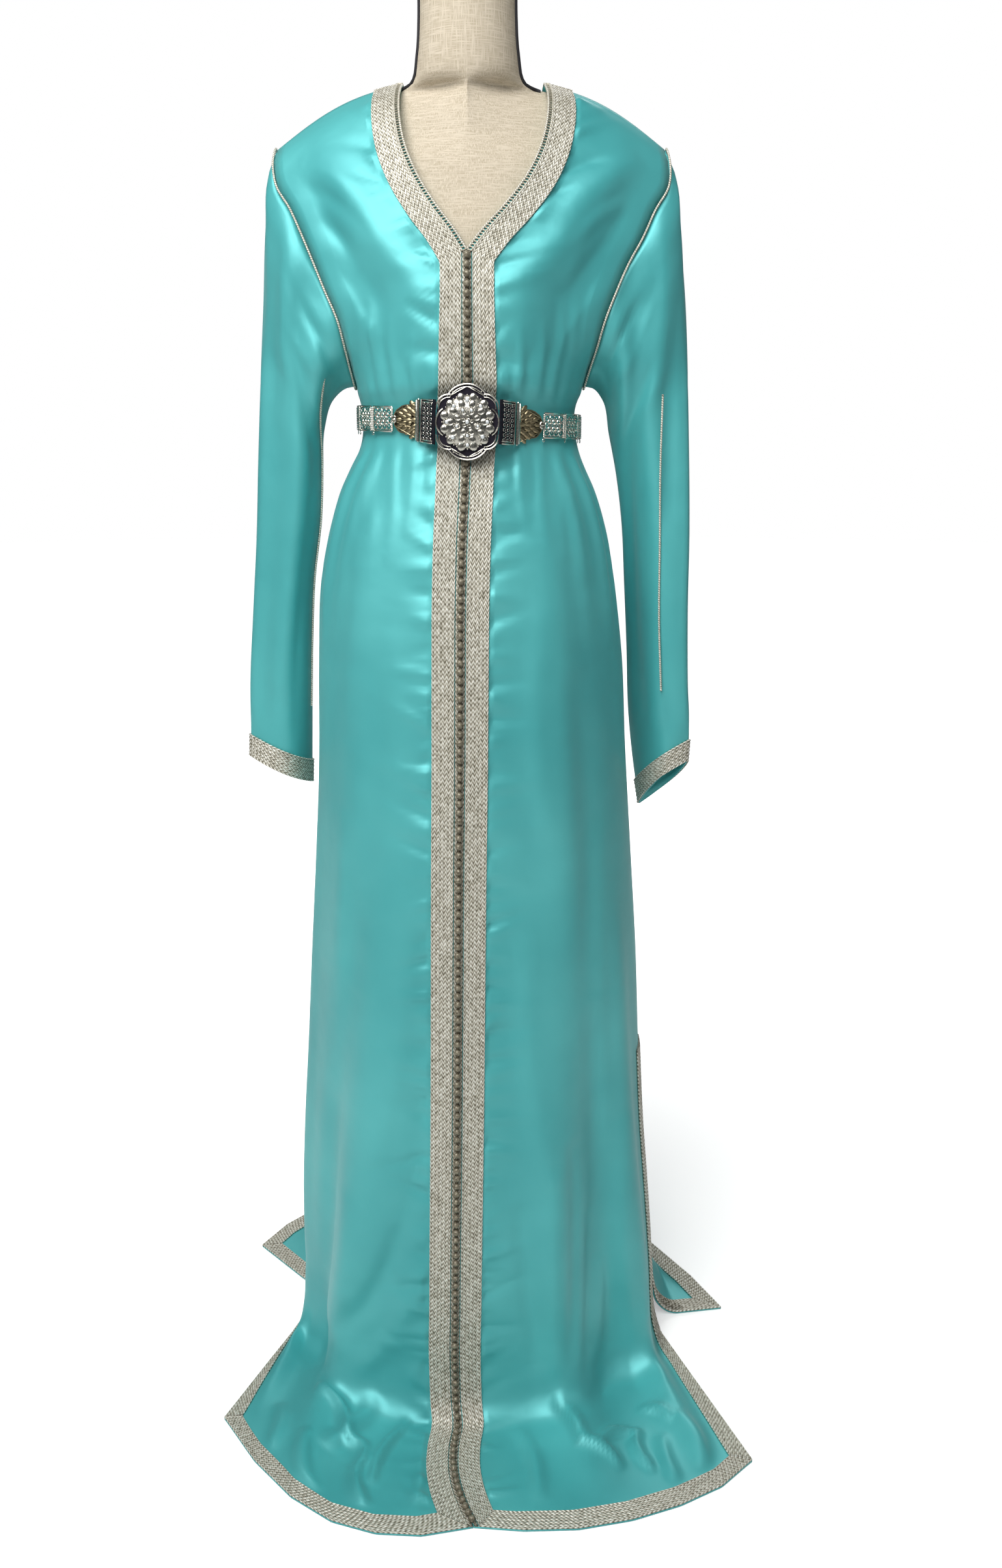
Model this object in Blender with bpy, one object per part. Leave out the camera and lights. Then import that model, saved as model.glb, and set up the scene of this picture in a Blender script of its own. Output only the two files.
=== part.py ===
"""Moroccan kaftan with a metal belt, worn by a limbless dress form. Metres, +Z up, front faces -Y.

The origin is the middle of the underside of the stand's base, on the floor. Each cloth piece is a thin
wall swept through rows: a row runs across the piece, from its first edge to its last, and the rows run
from the shoulder seam down to the hem, with the last rows lying on the floor.
"""
import math

import bmesh
import bpy
import numpy as np
from mathutils.bvhtree import BVHTree

# Cloth and trim, in metres.
CLOTH = 0.002            # wall of the satin with its facing
SEAM = 0.0003            # half of the slit between two pieces at a seam
LIFT = 0.0004            # slit between a trim and the panel under it
BRAID = 0.0018           # thickness of the flat silver braid
PICOT_SLIT = 0.0006      # slit between the lace and the braid beside it
PICOT_WIDTH = 0.006      # looped lace along the neck edge, and half of the strip for the buttons
BRAID_WIDTH = 0.025      # braid beside the buttons, along the slits and on the hem
ARMHOLE_GAP = 0.0010     # slit between the armhole's edge and the sleeve, under the cord
CORD_RADIUS = 0.0016     # round cord over the armhole and sleeve seams
BUTTONS = 154            # knotted ball buttons from the V-point to the hem
BUTTON_RADIUS = 0.0046
BUTTON_NECK = 0.0024
BUTTON_MARGIN = 0.002    # bare ends of the row

# How the rows are divided into columns, and the rows at which something changes.
DENSE = 61               # points worked out along each row before its columns are chosen
TRIM_STEPS = (0.0, PICOT_WIDTH, PICOT_WIDTH + BRAID_WIDTH / 2, PICOT_WIDTH + BRAID_WIDTH)
BACK_STEPS = (0.0, 0.015, PICOT_WIDTH + BRAID_WIDTH)
FRONT_EVEN = 8           # columns across a front between its two braids
BACK_EVEN = 6            # and across each half of the back
EDGE_ROW = 7             # the front's row at the V-point
BACK_NECK = 4            # the back's row at which its halves meet, at the middle of the neckline
UNDERARM = 10            # the row at which the armhole closes and the side seam starts
SLIT_ROW = 22            # the row at which the side slits begin, 0.4 m above the floor
NECK_TURN = (24.8, 36.0, 54.0, 74.0, 90.0)     # degrees below level at which the back neck braid lies
NECK_LIFT = 4 * LIFT     # slit under the back neck braid, which bridges the hollow of the neck

# Belt.
BELT_Z = 1.1635          # height of the belt's middle line at the centre front
BELT_TILT = -0.04        # the belt drops this much for each metre toward +X
BELT_LIFT = 0.0006       # slit between the belt and the cloth
BELT_SLIT = 0.0003       # slit between two plates of the belt
LINK_WIDTH = 0.0334
LINK_HEIGHT = 0.028
LINK_THICK = 0.0028
LINK_COUNT = 16
BUCKLE_WIDTH = 0.069
BUCKLE_HEIGHT = 0.080
BUCKLE_THICK = 0.0025
BUCKLE_SINK = 0.003      # the buckle presses the buttons behind it this far into the cloth
DOME_WIDTH = 0.036
DOME_HEIGHT = 0.040
DOME_THICK = 0.003
DOME_BULGE = 0.005
WING_HEIGHT = 0.046
WING_THICK = 0.0022
WING_SHARE = 0.74        # width of a wing, as a share of the way from the buckle to the fan
WING_MIDDLE = 0.380      # and its middle
WING_BACK = 0.0008       # a wing starts this far behind the buckle's back
BAR_SHARE = 0.88         # the hinge bar's place on that way
BAR_RADIUS = 0.0020
BAR_HALF = 0.022
FAN_PLACE = 0.0700       # distance of a fan's middle from the centre front, along the belt
FAN_WIDTH = 0.030
FAN_HEIGHT = 0.044       # at its hinge, narrowing to
FAN_NARROW = 0.020
FAN_THICK = 0.0028
FAN_REACH = 0.0155       # half of a fan, with its slit

# Dress form and stand.
POLE_RADIUS = 0.014
BASE_RADIUS = 0.150
BASE_THICK = 0.012
TORSO_BOTTOM = 0.930
NECK_TOP = 1.620
STAND_SLIT = 0.0003
BASE_EDGE = 0.004        # chamfer round the base
FORM_SIDES = 20

# Colours, as linear RGB.
SATIN = (0.105, 0.509, 0.491)
SILVER = (0.55, 0.52, 0.44)
LINEN = (0.78, 0.70, 0.60)

# Upper body. One row from the front edge to the side edge, shoulder seam first, belt last.
# edge_z: height at the neck or centre edge; neck_l, neck_r: how far the V has opened there;
# side_z, side_l, side_r: armhole or side seam; half: half width of the body's oval; depth: its front.
FRONT = [
    # edge_z neck_l  neck_r  side_z side_l  side_r  half   depth
    (1.5170, 0.0710, 0.0820, 1.4520, 0.2080, 0.2140, 0.250, 0.000),
    (1.5030, 0.0725, 0.0850, 1.4370, 0.2100, 0.2170, 0.250, 0.026),
    (1.4780, 0.0715, 0.0845, 1.4110, 0.2060, 0.2160, 0.242, 0.053),
    (1.4450, 0.0650, 0.0775, 1.3850, 0.1900, 0.2010, 0.228, 0.075),
    (1.4120, 0.0510, 0.0620, 1.3570, 0.1770, 0.1880, 0.212, 0.090),
    (1.3820, 0.0320, 0.0390, 1.3290, 0.1650, 0.1720, 0.198, 0.100),
    (1.3560, 0.0120, 0.0150, 1.3000, 0.1530, 0.1590, 0.185, 0.106),
    (1.3370, 0.0000, 0.0000, 1.2720, 0.1410, 0.1480, 0.170, 0.110),
    (1.3050, 0.0000, 0.0000, 1.2430, 0.1345, 0.1400, 0.150, 0.116),
    (1.2680, 0.0000, 0.0000, 1.2210, 0.1310, 0.1330, 0.1350, 0.119),
    (1.2330, 0.0000, 0.0000, 1.2020, 0.1280, 0.1280, 0.1280, 0.119),
    (1.2050, 0.0000, 0.0000, 1.1935, 0.1265, 0.1255, 0.1265, 0.117),
]
# The back's own columns for the same rows: the neckline sits higher, and the back is flatter.
BACK = [
    # edge_z neck    depth
    (1.5170, 0.0765, 0.000),
    (1.5080, 0.0730, 0.020),
    (1.4990, 0.0600, 0.040),
    (1.4930, 0.0360, 0.056),
    (1.4900, 0.0000, 0.066),
    (1.4620, 0.0000, 0.078),
    (1.4150, 0.0000, 0.091),
    (1.3700, 0.0000, 0.096),
    (1.3230, 0.0000, 0.098),
    (1.2750, 0.0000, 0.098),
    (1.2330, 0.0000, 0.097),
    (1.2040, 0.0000, 0.095),
]
BACK_NECK_SHIFT = 0.0055 # the back's neckline lies this far toward +X, as the front's does
SHOULDER_BOW = 0.011     # the shoulder seam stands this much above a straight line at its middle

# Skirt ovals from the belt to the floor, with the placket's sideways drift.
SKIRT = [
    # z      placket  left   right  front  back
    (1.1885, -0.0010, 0.1250, 0.1230, 0.1090, 0.0930),
    (1.1385, -0.0015, 0.1250, 0.1230, 0.1090, 0.0930),
    (1.1150, -0.0030, 0.1355, 0.1310, 0.1150, 0.1060),
    (1.0900, -0.0040, 0.1470, 0.1420, 0.1210, 0.1180),
    (1.0500, -0.0060, 0.1600, 0.1550, 0.1300, 0.1310),
    (0.9850, -0.0080, 0.1740, 0.1680, 0.1410, 0.1460),
    (0.9000, -0.0090, 0.1805, 0.1790, 0.1500, 0.1540),
    (0.7900, -0.0100, 0.1840, 0.1855, 0.1585, 0.1595),
    (0.6600, -0.0120, 0.1875, 0.1950, 0.1660, 0.1640),
    (0.5300, -0.0135, 0.1940, 0.2045, 0.1725, 0.1685),
    (0.4000, -0.0150, 0.2010, 0.2110, 0.1800, 0.1740),
    (0.3000, -0.0165, 0.2070, 0.2170, 0.1870, 0.1790),
    (0.2100, -0.0180, 0.2110, 0.2250, 0.1940, 0.1850),
    (0.1400, -0.0190, 0.2120, 0.2310, 0.1990, 0.1900),
    (0.0850, -0.0200, 0.2120, 0.2350, 0.2030, 0.1940),
]
# From the last oval the cloth turns onto the floor: run is metres outward, share is of the way from
# there to the hem braid, and height is that of the cloth's upper side. The hem itself comes last.
TURN = [
    # run    share height
    (0.0040, 0.00, 0.048),
    (0.0120, 0.00, 0.021),
    (0.0270, 0.00, 0.006),
    (0.0270, 0.25, 0.002),
    (0.0270, 0.50, 0.002),
    (0.0270, 0.75, 0.002),
    (0.0270, 1.00, 0.002),
]
HEM_SHARE = 1.2          # the hem's own share on that scale
SIDE_SEAM_TOP = -4.0     # degrees behind the widest point at which a side seam starts under the arm
SIDE_SEAM_LEFT = 9.0     # and the same at the floor
SIDE_SEAM_RIGHT = -5.0
PLACKET_BOW = 0.013      # the placket swings this far to the left on the floor, and back at the hem

# Hems on the floor, from the front middle or back middle to the corner at the slit.
HEM_FRONT_LEFT = [(0.006, -0.384), (-0.050, -0.396), (-0.100, -0.393), (-0.150, -0.376),
                  (-0.200, -0.340), (-0.250, -0.285), (-0.298, -0.215)]
HEM_FRONT_RIGHT = [(0.006, -0.384), (0.060, -0.389), (0.120, -0.387), (0.180, -0.374),
                   (0.235, -0.353), (0.285, -0.325), (0.326, -0.285)]
HEM_BACK_LEFT = [(0.000, 0.330), (-0.070, 0.326), (-0.140, 0.308), (-0.205, 0.275),
                 (-0.252, 0.236), (-0.285, 0.198), (-0.313, 0.145)]
HEM_BACK_RIGHT = [(0.000, 0.330), (0.070, 0.316), (0.137, 0.282), (0.200, 0.227),
                  (0.257, 0.148), (0.302, 0.070), (0.334, -0.001)]
HEMS = {(-1, -1): HEM_FRONT_LEFT, (-1, 1): HEM_FRONT_RIGHT, (1, -1): HEM_BACK_LEFT, (1, 1): HEM_BACK_RIGHT}

# Large folds of the skirt and body: a ridge (or trough, if height is negative) down the cloth.
# share: place across the half, 0 at the middle and 1 at the side seam, at the top and bottom;
# from_row, to_row: where it fades in and out; width: half width as a share; height: metres.
FOLDS = {
    "front_left": [
        (0.60, 0.64, 13.0, 17.5, 0.060, 0.0050),
        (0.76, 0.80, 13.0, 18.0, 0.055, 0.0060),
        (0.90, 0.92, 13.0, 18.0, 0.045, 0.0030),
        (0.46, 0.52, 15.0, 24.0, 0.100, 0.0070),
        (0.24, 0.66, 19.0, 33.0, 0.120, 0.0190),
        (0.44, 0.80, 20.0, 30.0, 0.080, -0.0130),
        (0.84, 0.88, 19.0, 33.0, 0.080, 0.0130),
        (0.55, 0.25, 1.5, 9.5, 0.140, 0.0080),
        (0.80, 0.56, 2.5, 9.5, 0.100, -0.0060),
    ],
    "front_right": [
        (0.58, 0.60, 13.0, 17.5, 0.060, 0.0050),
        (0.75, 0.78, 13.0, 18.0, 0.055, 0.0060),
        (0.90, 0.92, 13.0, 18.0, 0.045, 0.0030),
        (0.40, 0.44, 15.0, 25.0, 0.100, 0.0070),
        (0.30, 0.46, 20.0, 33.0, 0.090, 0.0140),
        (0.52, 0.62, 21.0, 30.0, 0.080, -0.0120),
        (0.68, 0.82, 20.0, 33.0, 0.085, 0.0170),
        (0.55, 0.25, 1.5, 9.5, 0.140, 0.0080),
        (0.80, 0.56, 2.5, 9.5, 0.100, -0.0060),
    ],
    "back_left": [
        (0.28, 0.32, 13.0, 20.0, 0.080, 0.0060),
        (0.55, 0.60, 13.0, 19.0, 0.070, 0.0065),
        (0.82, 0.84, 13.0, 18.0, 0.060, 0.0055),
        (0.24, 0.36, 18.0, 33.0, 0.130, 0.0160),
        (0.62, 0.68, 19.0, 33.0, 0.110, 0.0150),
    ],
    "back_right": [
        (0.26, 0.28, 13.0, 20.0, 0.080, 0.0060),
        (0.52, 0.56, 13.0, 19.0, 0.070, 0.0065),
        (0.80, 0.82, 13.0, 18.0, 0.060, 0.0055),
        (0.30, 0.42, 18.0, 33.0, 0.130, 0.0160),
        (0.66, 0.74, 19.0, 33.0, 0.110, 0.0130),
    ],
}

# Sleeves. Each row is a flattened ring from an inner point (underarm side) to an outer point.
# ridge: share of the way from inner to outer at which the front stands out most; front, back: depths.
SLEEVE_LEFT = [
    # in_x   in_y   in_z   out_x  out_y   out_z  ridge front  back
    (0.1290, 0.005, 1.2000, 0.2090, 0.000, 1.4520, 0.50, 0.060, 0.045),
    (0.1400, 0.006, 1.1985, 0.2165, -0.003, 1.4330, 0.50, 0.058, 0.044),
    (0.1560, 0.010, 1.1870, 0.2205, -0.006, 1.3850, 0.50, 0.054, 0.040),
    (0.1680, 0.014, 1.1570, 0.2260, -0.008, 1.3050, 0.50, 0.048, 0.036),
    (0.1720, 0.018, 1.1100, 0.2350, -0.010, 1.2150, 0.50, 0.044, 0.032),
    (0.1760, 0.020, 1.0500, 0.2420, -0.010, 1.1300, 0.46, 0.042, 0.029),
    (0.1870, 0.020, 0.9800, 0.2480, -0.010, 1.0400, 0.46, 0.040, 0.027),
    (0.1920, 0.020, 0.9050, 0.2560, -0.010, 0.9500, 0.46, 0.040, 0.025),
    (0.1945, 0.020, 0.8300, 0.2630, -0.010, 0.8680, 0.46, 0.038, 0.024),
    (0.1965, 0.018, 0.7640, 0.2660, -0.008, 0.8010, 0.50, 0.034, 0.022),
    (0.1975, 0.016, 0.7360, 0.2680, -0.006, 0.7740, 0.50, 0.032, 0.020),
]
SLEEVE_RIGHT = [
    # in_x   in_y   in_z   out_x  out_y   out_z  ridge front  back
    (0.1290, 0.005, 1.2000, 0.2150, 0.000, 1.4520, 0.50, 0.060, 0.045),
    (0.1400, 0.008, 1.1985, 0.2240, -0.003, 1.4330, 0.52, 0.058, 0.044),
    (0.1520, 0.016, 1.1870, 0.2300, -0.008, 1.3850, 0.56, 0.052, 0.040),
    (0.1610, 0.024, 1.1500, 0.2390, -0.012, 1.3100, 0.62, 0.044, 0.036),
    (0.1710, 0.032, 1.1050, 0.2450, -0.016, 1.2200, 0.68, 0.036, 0.032),
    (0.1790, 0.038, 1.0500, 0.2480, -0.020, 1.1300, 0.74, 0.030, 0.030),
    (0.1840, 0.042, 0.9800, 0.2500, -0.022, 1.0400, 0.78, 0.026, 0.028),
    (0.1890, 0.044, 0.9000, 0.2510, -0.022, 0.9500, 0.80, 0.024, 0.026),
    (0.1930, 0.044, 0.8200, 0.2550, -0.020, 0.8680, 0.78, 0.024, 0.024),
    (0.2040, 0.042, 0.7310, 0.2610, -0.016, 0.7960, 0.72, 0.026, 0.022),
    (0.2090, 0.040, 0.7010, 0.2600, -0.014, 0.7690, 0.70, 0.026, 0.020),
]
SLEEVE_SEAM = {-1: (2, 2), 1: (7, 4)}     # column and first ring of the cord down each sleeve
SLEEVE_BLEND = 0.32      # share of the sleeve's length over which the armhole's shape fades out

# Dress form, as flat ovals from the hips up: power 2 is an ellipse, less is more like a diamond.
FORM = [
    # z      half_x  half_y  mid_y  power
    (TORSO_BOTTOM, 0.1580, 0.1300, 0.004, 2.0),
    (0.9850, 0.1560, 0.1310, 0.004, 2.0),
    (1.0500, 0.1440, 0.1190, 0.002, 2.0),
    (1.0900, 0.1310, 0.1090, 0.000, 2.0),
    (1.1250, 0.1185, 0.0965, -0.003, 2.0),
    (1.1600, 0.1140, 0.0900, -0.007, 2.0),
    (1.1950, 0.1150, 0.0935, -0.009, 2.0),
    (1.2300, 0.1185, 0.0985, -0.010, 2.0),
    (1.2700, 0.1240, 0.0990, -0.009, 2.0),
    (1.3100, 0.1310, 0.0960, -0.008, 2.0),
    (1.3600, 0.1450, 0.0880, -0.008, 2.0),
    (1.4000, 0.1700, 0.0780, -0.005, 1.9),
    (1.4380, 0.1880, 0.0680, -0.003, 1.5),
    (1.4570, 0.1900, 0.0600, -0.002, 1.2),
    (1.4768, 0.1660, 0.0560, -0.001, 1.05),
    (1.4985, 0.1210, 0.0500, 0.000, 0.9),
    (1.5090, 0.0850, 0.0480, 0.000, 0.9),
    (1.5152, 0.0630, 0.0500, 0.000, 1.6),
    (1.5400, 0.0560, 0.0520, 0.000, 2.0),
    (1.5800, 0.0530, 0.0510, 0.000, 2.0),
    (NECK_TOP, 0.0530, 0.0510, 0.000, 2.0),
]


def clear_scene():
    for item in list(bpy.data.objects):
        bpy.data.objects.remove(item, do_unlink=True)


def material(name, colour, roughness, metallic=0.0):
    found = bpy.data.materials.get(name)
    if found:
        return found
    made = bpy.data.materials.new(name)
    made.use_nodes = True
    shader = made.node_tree.nodes["Principled BSDF"]
    shader.inputs["Base Color"].default_value = (*colour, 1.0)
    shader.inputs["Roughness"].default_value = roughness
    shader.inputs["Metallic"].default_value = metallic
    return made


def add_object(name, vertices, faces, look, smooth=True):
    """One closed mesh with its faces turned outward."""
    mesh = bpy.data.meshes.new(name)
    mesh.from_pydata([tuple(v) for v in vertices], [], faces)
    shape = bmesh.new()
    shape.from_mesh(mesh)
    bmesh.ops.recalc_face_normals(shape, faces=shape.faces)
    if shape.calc_volume(signed=True) < 0:
        bmesh.ops.reverse_faces(shape, faces=shape.faces)
    shape.to_mesh(mesh)
    shape.free()
    if smooth:
        mesh.shade_smooth()
        mesh.set_sharp_from_angle(angle=math.radians(50))
    mesh.materials.append(look)
    made = bpy.data.objects.new(name, mesh)
    bpy.context.scene.collection.objects.link(made)
    return made


def unit(vectors):
    length = np.linalg.norm(vectors, axis=-1, keepdims=True)
    return vectors / np.maximum(length, 1e-12)


def grid_normals(grid, ring=False):
    """Outward normals of a grid of points: rows run down, columns run from the first edge to the last."""
    down = np.gradient(grid, axis=0)
    if ring:
        wide = np.concatenate([grid[:, -1:], grid, grid[:, :1]], axis=1)
        across = (wide[:, 2:] - wide[:, :-2]) / 2
    else:
        across = np.gradient(grid, axis=1)
    return unit(np.cross(across, down))


def wall_of(name, outer, inner, quads, look):
    """A closed wall: the quads on its outer points, the same on its inner points, and a rim round them."""
    used = sorted({corner for quad in quads for corner in quad})
    place = {corner: i for i, corner in enumerate(used)}
    half = len(used)
    vertices = [outer[i] for i in used] + [inner[i] for i in used]
    faces = []
    open_edges = {}
    for quad in quads:
        a = [place[corner] for corner in quad]
        for corners in ((a[0], a[1], a[2]), (a[0], a[2], a[3])):
            faces.append(corners)
            faces.append(tuple(half + i for i in reversed(corners)))
        for i in range(4):
            edge = (a[i], a[(i + 1) % 4])
            if edge[::-1] in open_edges:
                del open_edges[edge[::-1]]
            else:
                open_edges[edge] = True
    for a, b in open_edges:
        # The rim's diagonal runs from the higher outer corner, so that two rims at a seam lie parallel.
        if vertices[a][2] < vertices[b][2]:
            faces += [(b, a, half + a), (b, half + a, half + b)]
        else:
            faces += [(b, a, half + b), (a, half + a, half + b)]
    return add_object(name, vertices, faces, look)


def cells(shape, rows, columns, ring=False):
    """Corner numbers of the cells of a grid, for ranges of rows and columns of cells."""
    wide = shape[1]
    found = []
    for row in rows:
        for column in columns:
            after = (column + 1) % wide if ring else column + 1
            found.append((row * wide + column, row * wide + after,
                          (row + 1) * wide + after, (row + 1) * wide + column))
    return found


def wall(name, outer, inner, look, ring=False):
    """A closed wall between two whole grids of points; a ring wall joins its last column to its first."""
    count = outer.shape[1] if ring else outer.shape[1] - 1
    quads = cells(outer.shape, range(outer.shape[0] - 1), range(count), ring)
    return wall_of(name, outer.reshape(-1, 3), inner.reshape(-1, 3), quads, look)


def strip(name, points, normals, look, lift=LIFT, thick=BRAID, ring=False):
    """A flat trim made from a panel's own points, moved out along its normals."""
    return wall(name, points + normals * (lift + thick), points + normals * lift, look, ring)


def tube(name, path, radii, look, sides=6, ring=False, up=None):
    """A round solid along a path of points, with a radius for each."""
    path = np.asarray(path, float)
    radii = np.broadcast_to(radii, (len(path),))
    if ring:
        wide = np.concatenate([path[-1:], path, path[:1]])
        ahead = unit(wide[2:] - wide[:-2])
    else:
        ahead = unit(np.gradient(path, axis=0))
    side = unit(np.cross(ahead, up if up is not None else np.array([0.0, 1.0, 0.0])))
    over = unit(np.cross(side, ahead))
    vertices = []
    for i in range(len(path)):
        for k in range(sides):
            turn = 2 * math.pi * (k + 0.5) / sides
            vertices.append(path[i] + radii[i] * (math.cos(turn) * side[i] + math.sin(turn) * over[i]))
    faces = []
    steps = len(path) if ring else len(path) - 1
    for i in range(steps):
        j = (i + 1) % len(path)
        for k in range(sides):
            m = (k + 1) % sides
            faces.append((i * sides + k, i * sides + m, j * sides + m, j * sides + k))
    if not ring:
        faces.append(tuple(range(sides)))
        faces.append(tuple((len(path) - 1) * sides + k for k in range(sides)))
    return add_object(name, vertices, faces, look)


def along(points, distances):
    """Points at the given distances along a line of points; past its end they follow its last leg."""
    points = np.asarray(points, float)
    steps = np.linalg.norm(np.diff(points, axis=0), axis=1)
    reach = np.concatenate([[0.0], np.cumsum(steps)])
    return np.stack([np.interp(distances, reach, points[:, k]) for k in range(points.shape[1])], axis=1)


def length_of(points):
    return float(np.linalg.norm(np.diff(np.asarray(points, float), axis=0), axis=1).sum())


# One half of the front or back, as rows of points.
def side_angle(side, z):
    """The side seam's place on the body's oval, which swings from the waist to the floor."""
    down = min(max((1.0 - z) / 0.5, 0.0), 1.0)
    floor = SIDE_SEAM_LEFT if side < 0 else SIDE_SEAM_RIGHT
    return math.radians(90.0 + SIDE_SEAM_TOP + (floor - SIDE_SEAM_TOP) * down)


def oval_arc(centre, half, depth, other_depth, first, last):
    """Points from the middle edge to the side: depth is this half's, other_depth the half behind it."""
    angle = np.linspace(first, last, DENSE)
    deep = np.where(np.cos(angle) >= 0, depth, other_depth)
    return np.stack([centre + half * np.sin(angle), -deep * np.cos(angle)], axis=1)


def half_rows(face, side):
    """Rows of one half. face is -1 for the front and +1 for the back; side is -1 for the left, +1 right."""
    rows = []
    edge_angle = side_angle(side, BELT_Z) if face < 0 else math.pi - side_angle(side, BELT_Z)
    for number, (edge_z, neck_l, neck_r, side_z, side_l, side_r, half, depth) in enumerate(FRONT):
        neck = neck_l if side < 0 else neck_r
        reach = side_l if side < 0 else side_r
        other = BACK[number][2]
        if face > 0:
            edge_z, neck, other = BACK[number][0], BACK[number][1], depth
            depth = BACK[number][2]
            neck = neck + BACK_NECK_SHIFT * side if neck > 0 else 0.0
        half = max(half, reach)
        first = math.asin(neck / half)
        last = edge_angle if number >= UNDERARM else math.asin(reach / half)
        if number >= UNDERARM:
            half = reach
        flat = oval_arc(0.0, half, depth, other, first, last)
        share = (flat[:, 0] - flat[0, 0]) / (flat[:, 0].max() - flat[0, 0])
        bow = SHOULDER_BOW * max(0, 1 - number / 5) * np.sin(math.pi * share)
        height = edge_z + (side_z - edge_z) * share + bow
        rows.append(np.column_stack([side * flat[:, 0], -face * flat[:, 1], height]))
    for z, centre, left, right, front, back in SKIRT:
        depths = (front, back) if face < 0 else (back, front)
        middle = centre if face < 0 else 0.0
        width = (left if side < 0 else right) + side * -middle
        edge_angle = side_angle(side, z) if face < 0 else math.pi - side_angle(side, z)
        flat = oval_arc(0.0, width, depths[0], depths[1], 0.0, edge_angle)
        rows.append(np.column_stack([middle + side * flat[:, 0], -face * flat[:, 1], np.full(DENSE, z)]))
    for i in range(len(rows)):
        rows[i] = rows[i] + fold_shift(rows, i, face, side)
    start = rows[-1]
    hem_points = HEMS[(face, side)]
    hem = along(hem_points, np.linspace(0, length_of(hem_points), DENSE))
    outward = hem - start[:, :2]
    distance = np.linalg.norm(outward, axis=1, keepdims=True)
    ahead = outward / distance
    count = len(rows)
    steps = []
    for run, share, height in TURN:
        steps.append((ahead * (run + share * (distance - BRAID_WIDTH - run)), share, height))
    steps.append((outward, HEM_SHARE, CLOTH))
    for step, (moved, share, height) in enumerate(steps):
        place = start[:, :2] + moved
        if face < 0:
            bow = -PLACKET_BOW * math.sin(math.pi * share / HEM_SHARE)
            place[:, 0] += bow * (1 - np.linspace(0, 1, DENSE)) ** 2
        lifted = np.full(DENSE, height) + floor_lift(count + step, face, side)
        rows.append(np.column_stack([place, lifted]))
    return rows


def half_name(face, side):
    return ("front" if face < 0 else "back") + ("_left" if side < 0 else "_right")


def fold_profile(row, face, side):
    """Sum of the folds across a row: DENSE heights in metres."""
    across = np.linspace(0, 1, DENSE)
    total = np.zeros(DENSE)
    for top, bottom, first, last, width, height in FOLDS[half_name(face, side)]:
        if not first < row < last:
            continue
        down = (row - first) / (last - first)
        place = top + (bottom - top) * down
        fade = math.sin(math.pi * down) ** 0.7
        total += height * fade * np.exp(-((across - place) / width) ** 2)
    edge = np.clip(across / 0.16, 0, 1) * np.clip((1 - across) / 0.06, 0, 1)
    return total * edge


def fold_shift(rows, i, face, side):
    """The folds of a row on the body, pushed straight out from the figure."""
    row = rows[i]
    out = row.copy()
    out[:, 2] = 0
    out[:, 0] *= 0.6
    calm = 0.0 if i in (0, 12, 13) else 1.0
    return unit(out) * (fold_profile(i, face, side) * calm)[:, None]


def floor_lift(i, face, side):
    """On the floor a ridge stands up and a trough stays flat."""
    return np.maximum(fold_profile(i, face, side), 0.0) * 1.2


def columns_of(row, fixed, evenly):
    """A row's columns: fixed ones at its first edge, a braid's width at its last, even ones between."""
    total = length_of(row)
    rest = np.linspace(fixed[-1], total - BRAID_WIDTH, evenly + 1)[1:]
    return along(row, np.concatenate([fixed, rest, [total]]))


def panel_normals(grid, face):
    """Normals whose lean stays in the seams, so that two pieces that meet there don't cross."""
    normals = grid_normals(grid)
    away = grid.copy()
    away[..., 2] = 0
    if (normals * away).sum() < 0:
        normals = -normals
    normals[0, :, 1] = 0
    normals[UNDERARM:, -1, 1] = 0
    normals[EDGE_ROW if face < 0 else BACK_NECK:, 0, 0] = 0
    normals[-2:] = (0.0, 0.0, 1.0)
    return unit(normals)


def inner_points(outer, normals):
    """The inner side of a cloth wall, never under the floor and flat on it where the cloth lies."""
    inner = outer - normals * CLOTH
    inner[..., 2] = np.maximum(inner[..., 2], 0.0)
    flat = outer[..., 2] <= CLOTH + 1e-6
    inner[flat] = outer[flat] - np.array([0.0, 0.0, CLOTH])
    return inner


def armhole_loop(side):
    """The armhole's points and normals: underarm, up the front, over the shoulder, down the back."""
    front, front_normals = edges[(-1, side)]
    back, back_normals = edges[(1, side)]
    order = list(range(UNDERARM - 1, 0, -1))
    points = [(front[UNDERARM] + back[UNDERARM]) / 2] + [front[i] for i in order]
    points += [(front[0] + back[0]) / 2] + [back[i] for i in reversed(order)]
    leans = [front_normals[UNDERARM]] + [front_normals[i] for i in order]
    leans += [front_normals[0]] + [back_normals[i] for i in reversed(order)]
    return np.array(points), unit(np.array(leans))


def wrapped(points):
    return np.concatenate([points[-1:], points, points[:1]])


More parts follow.
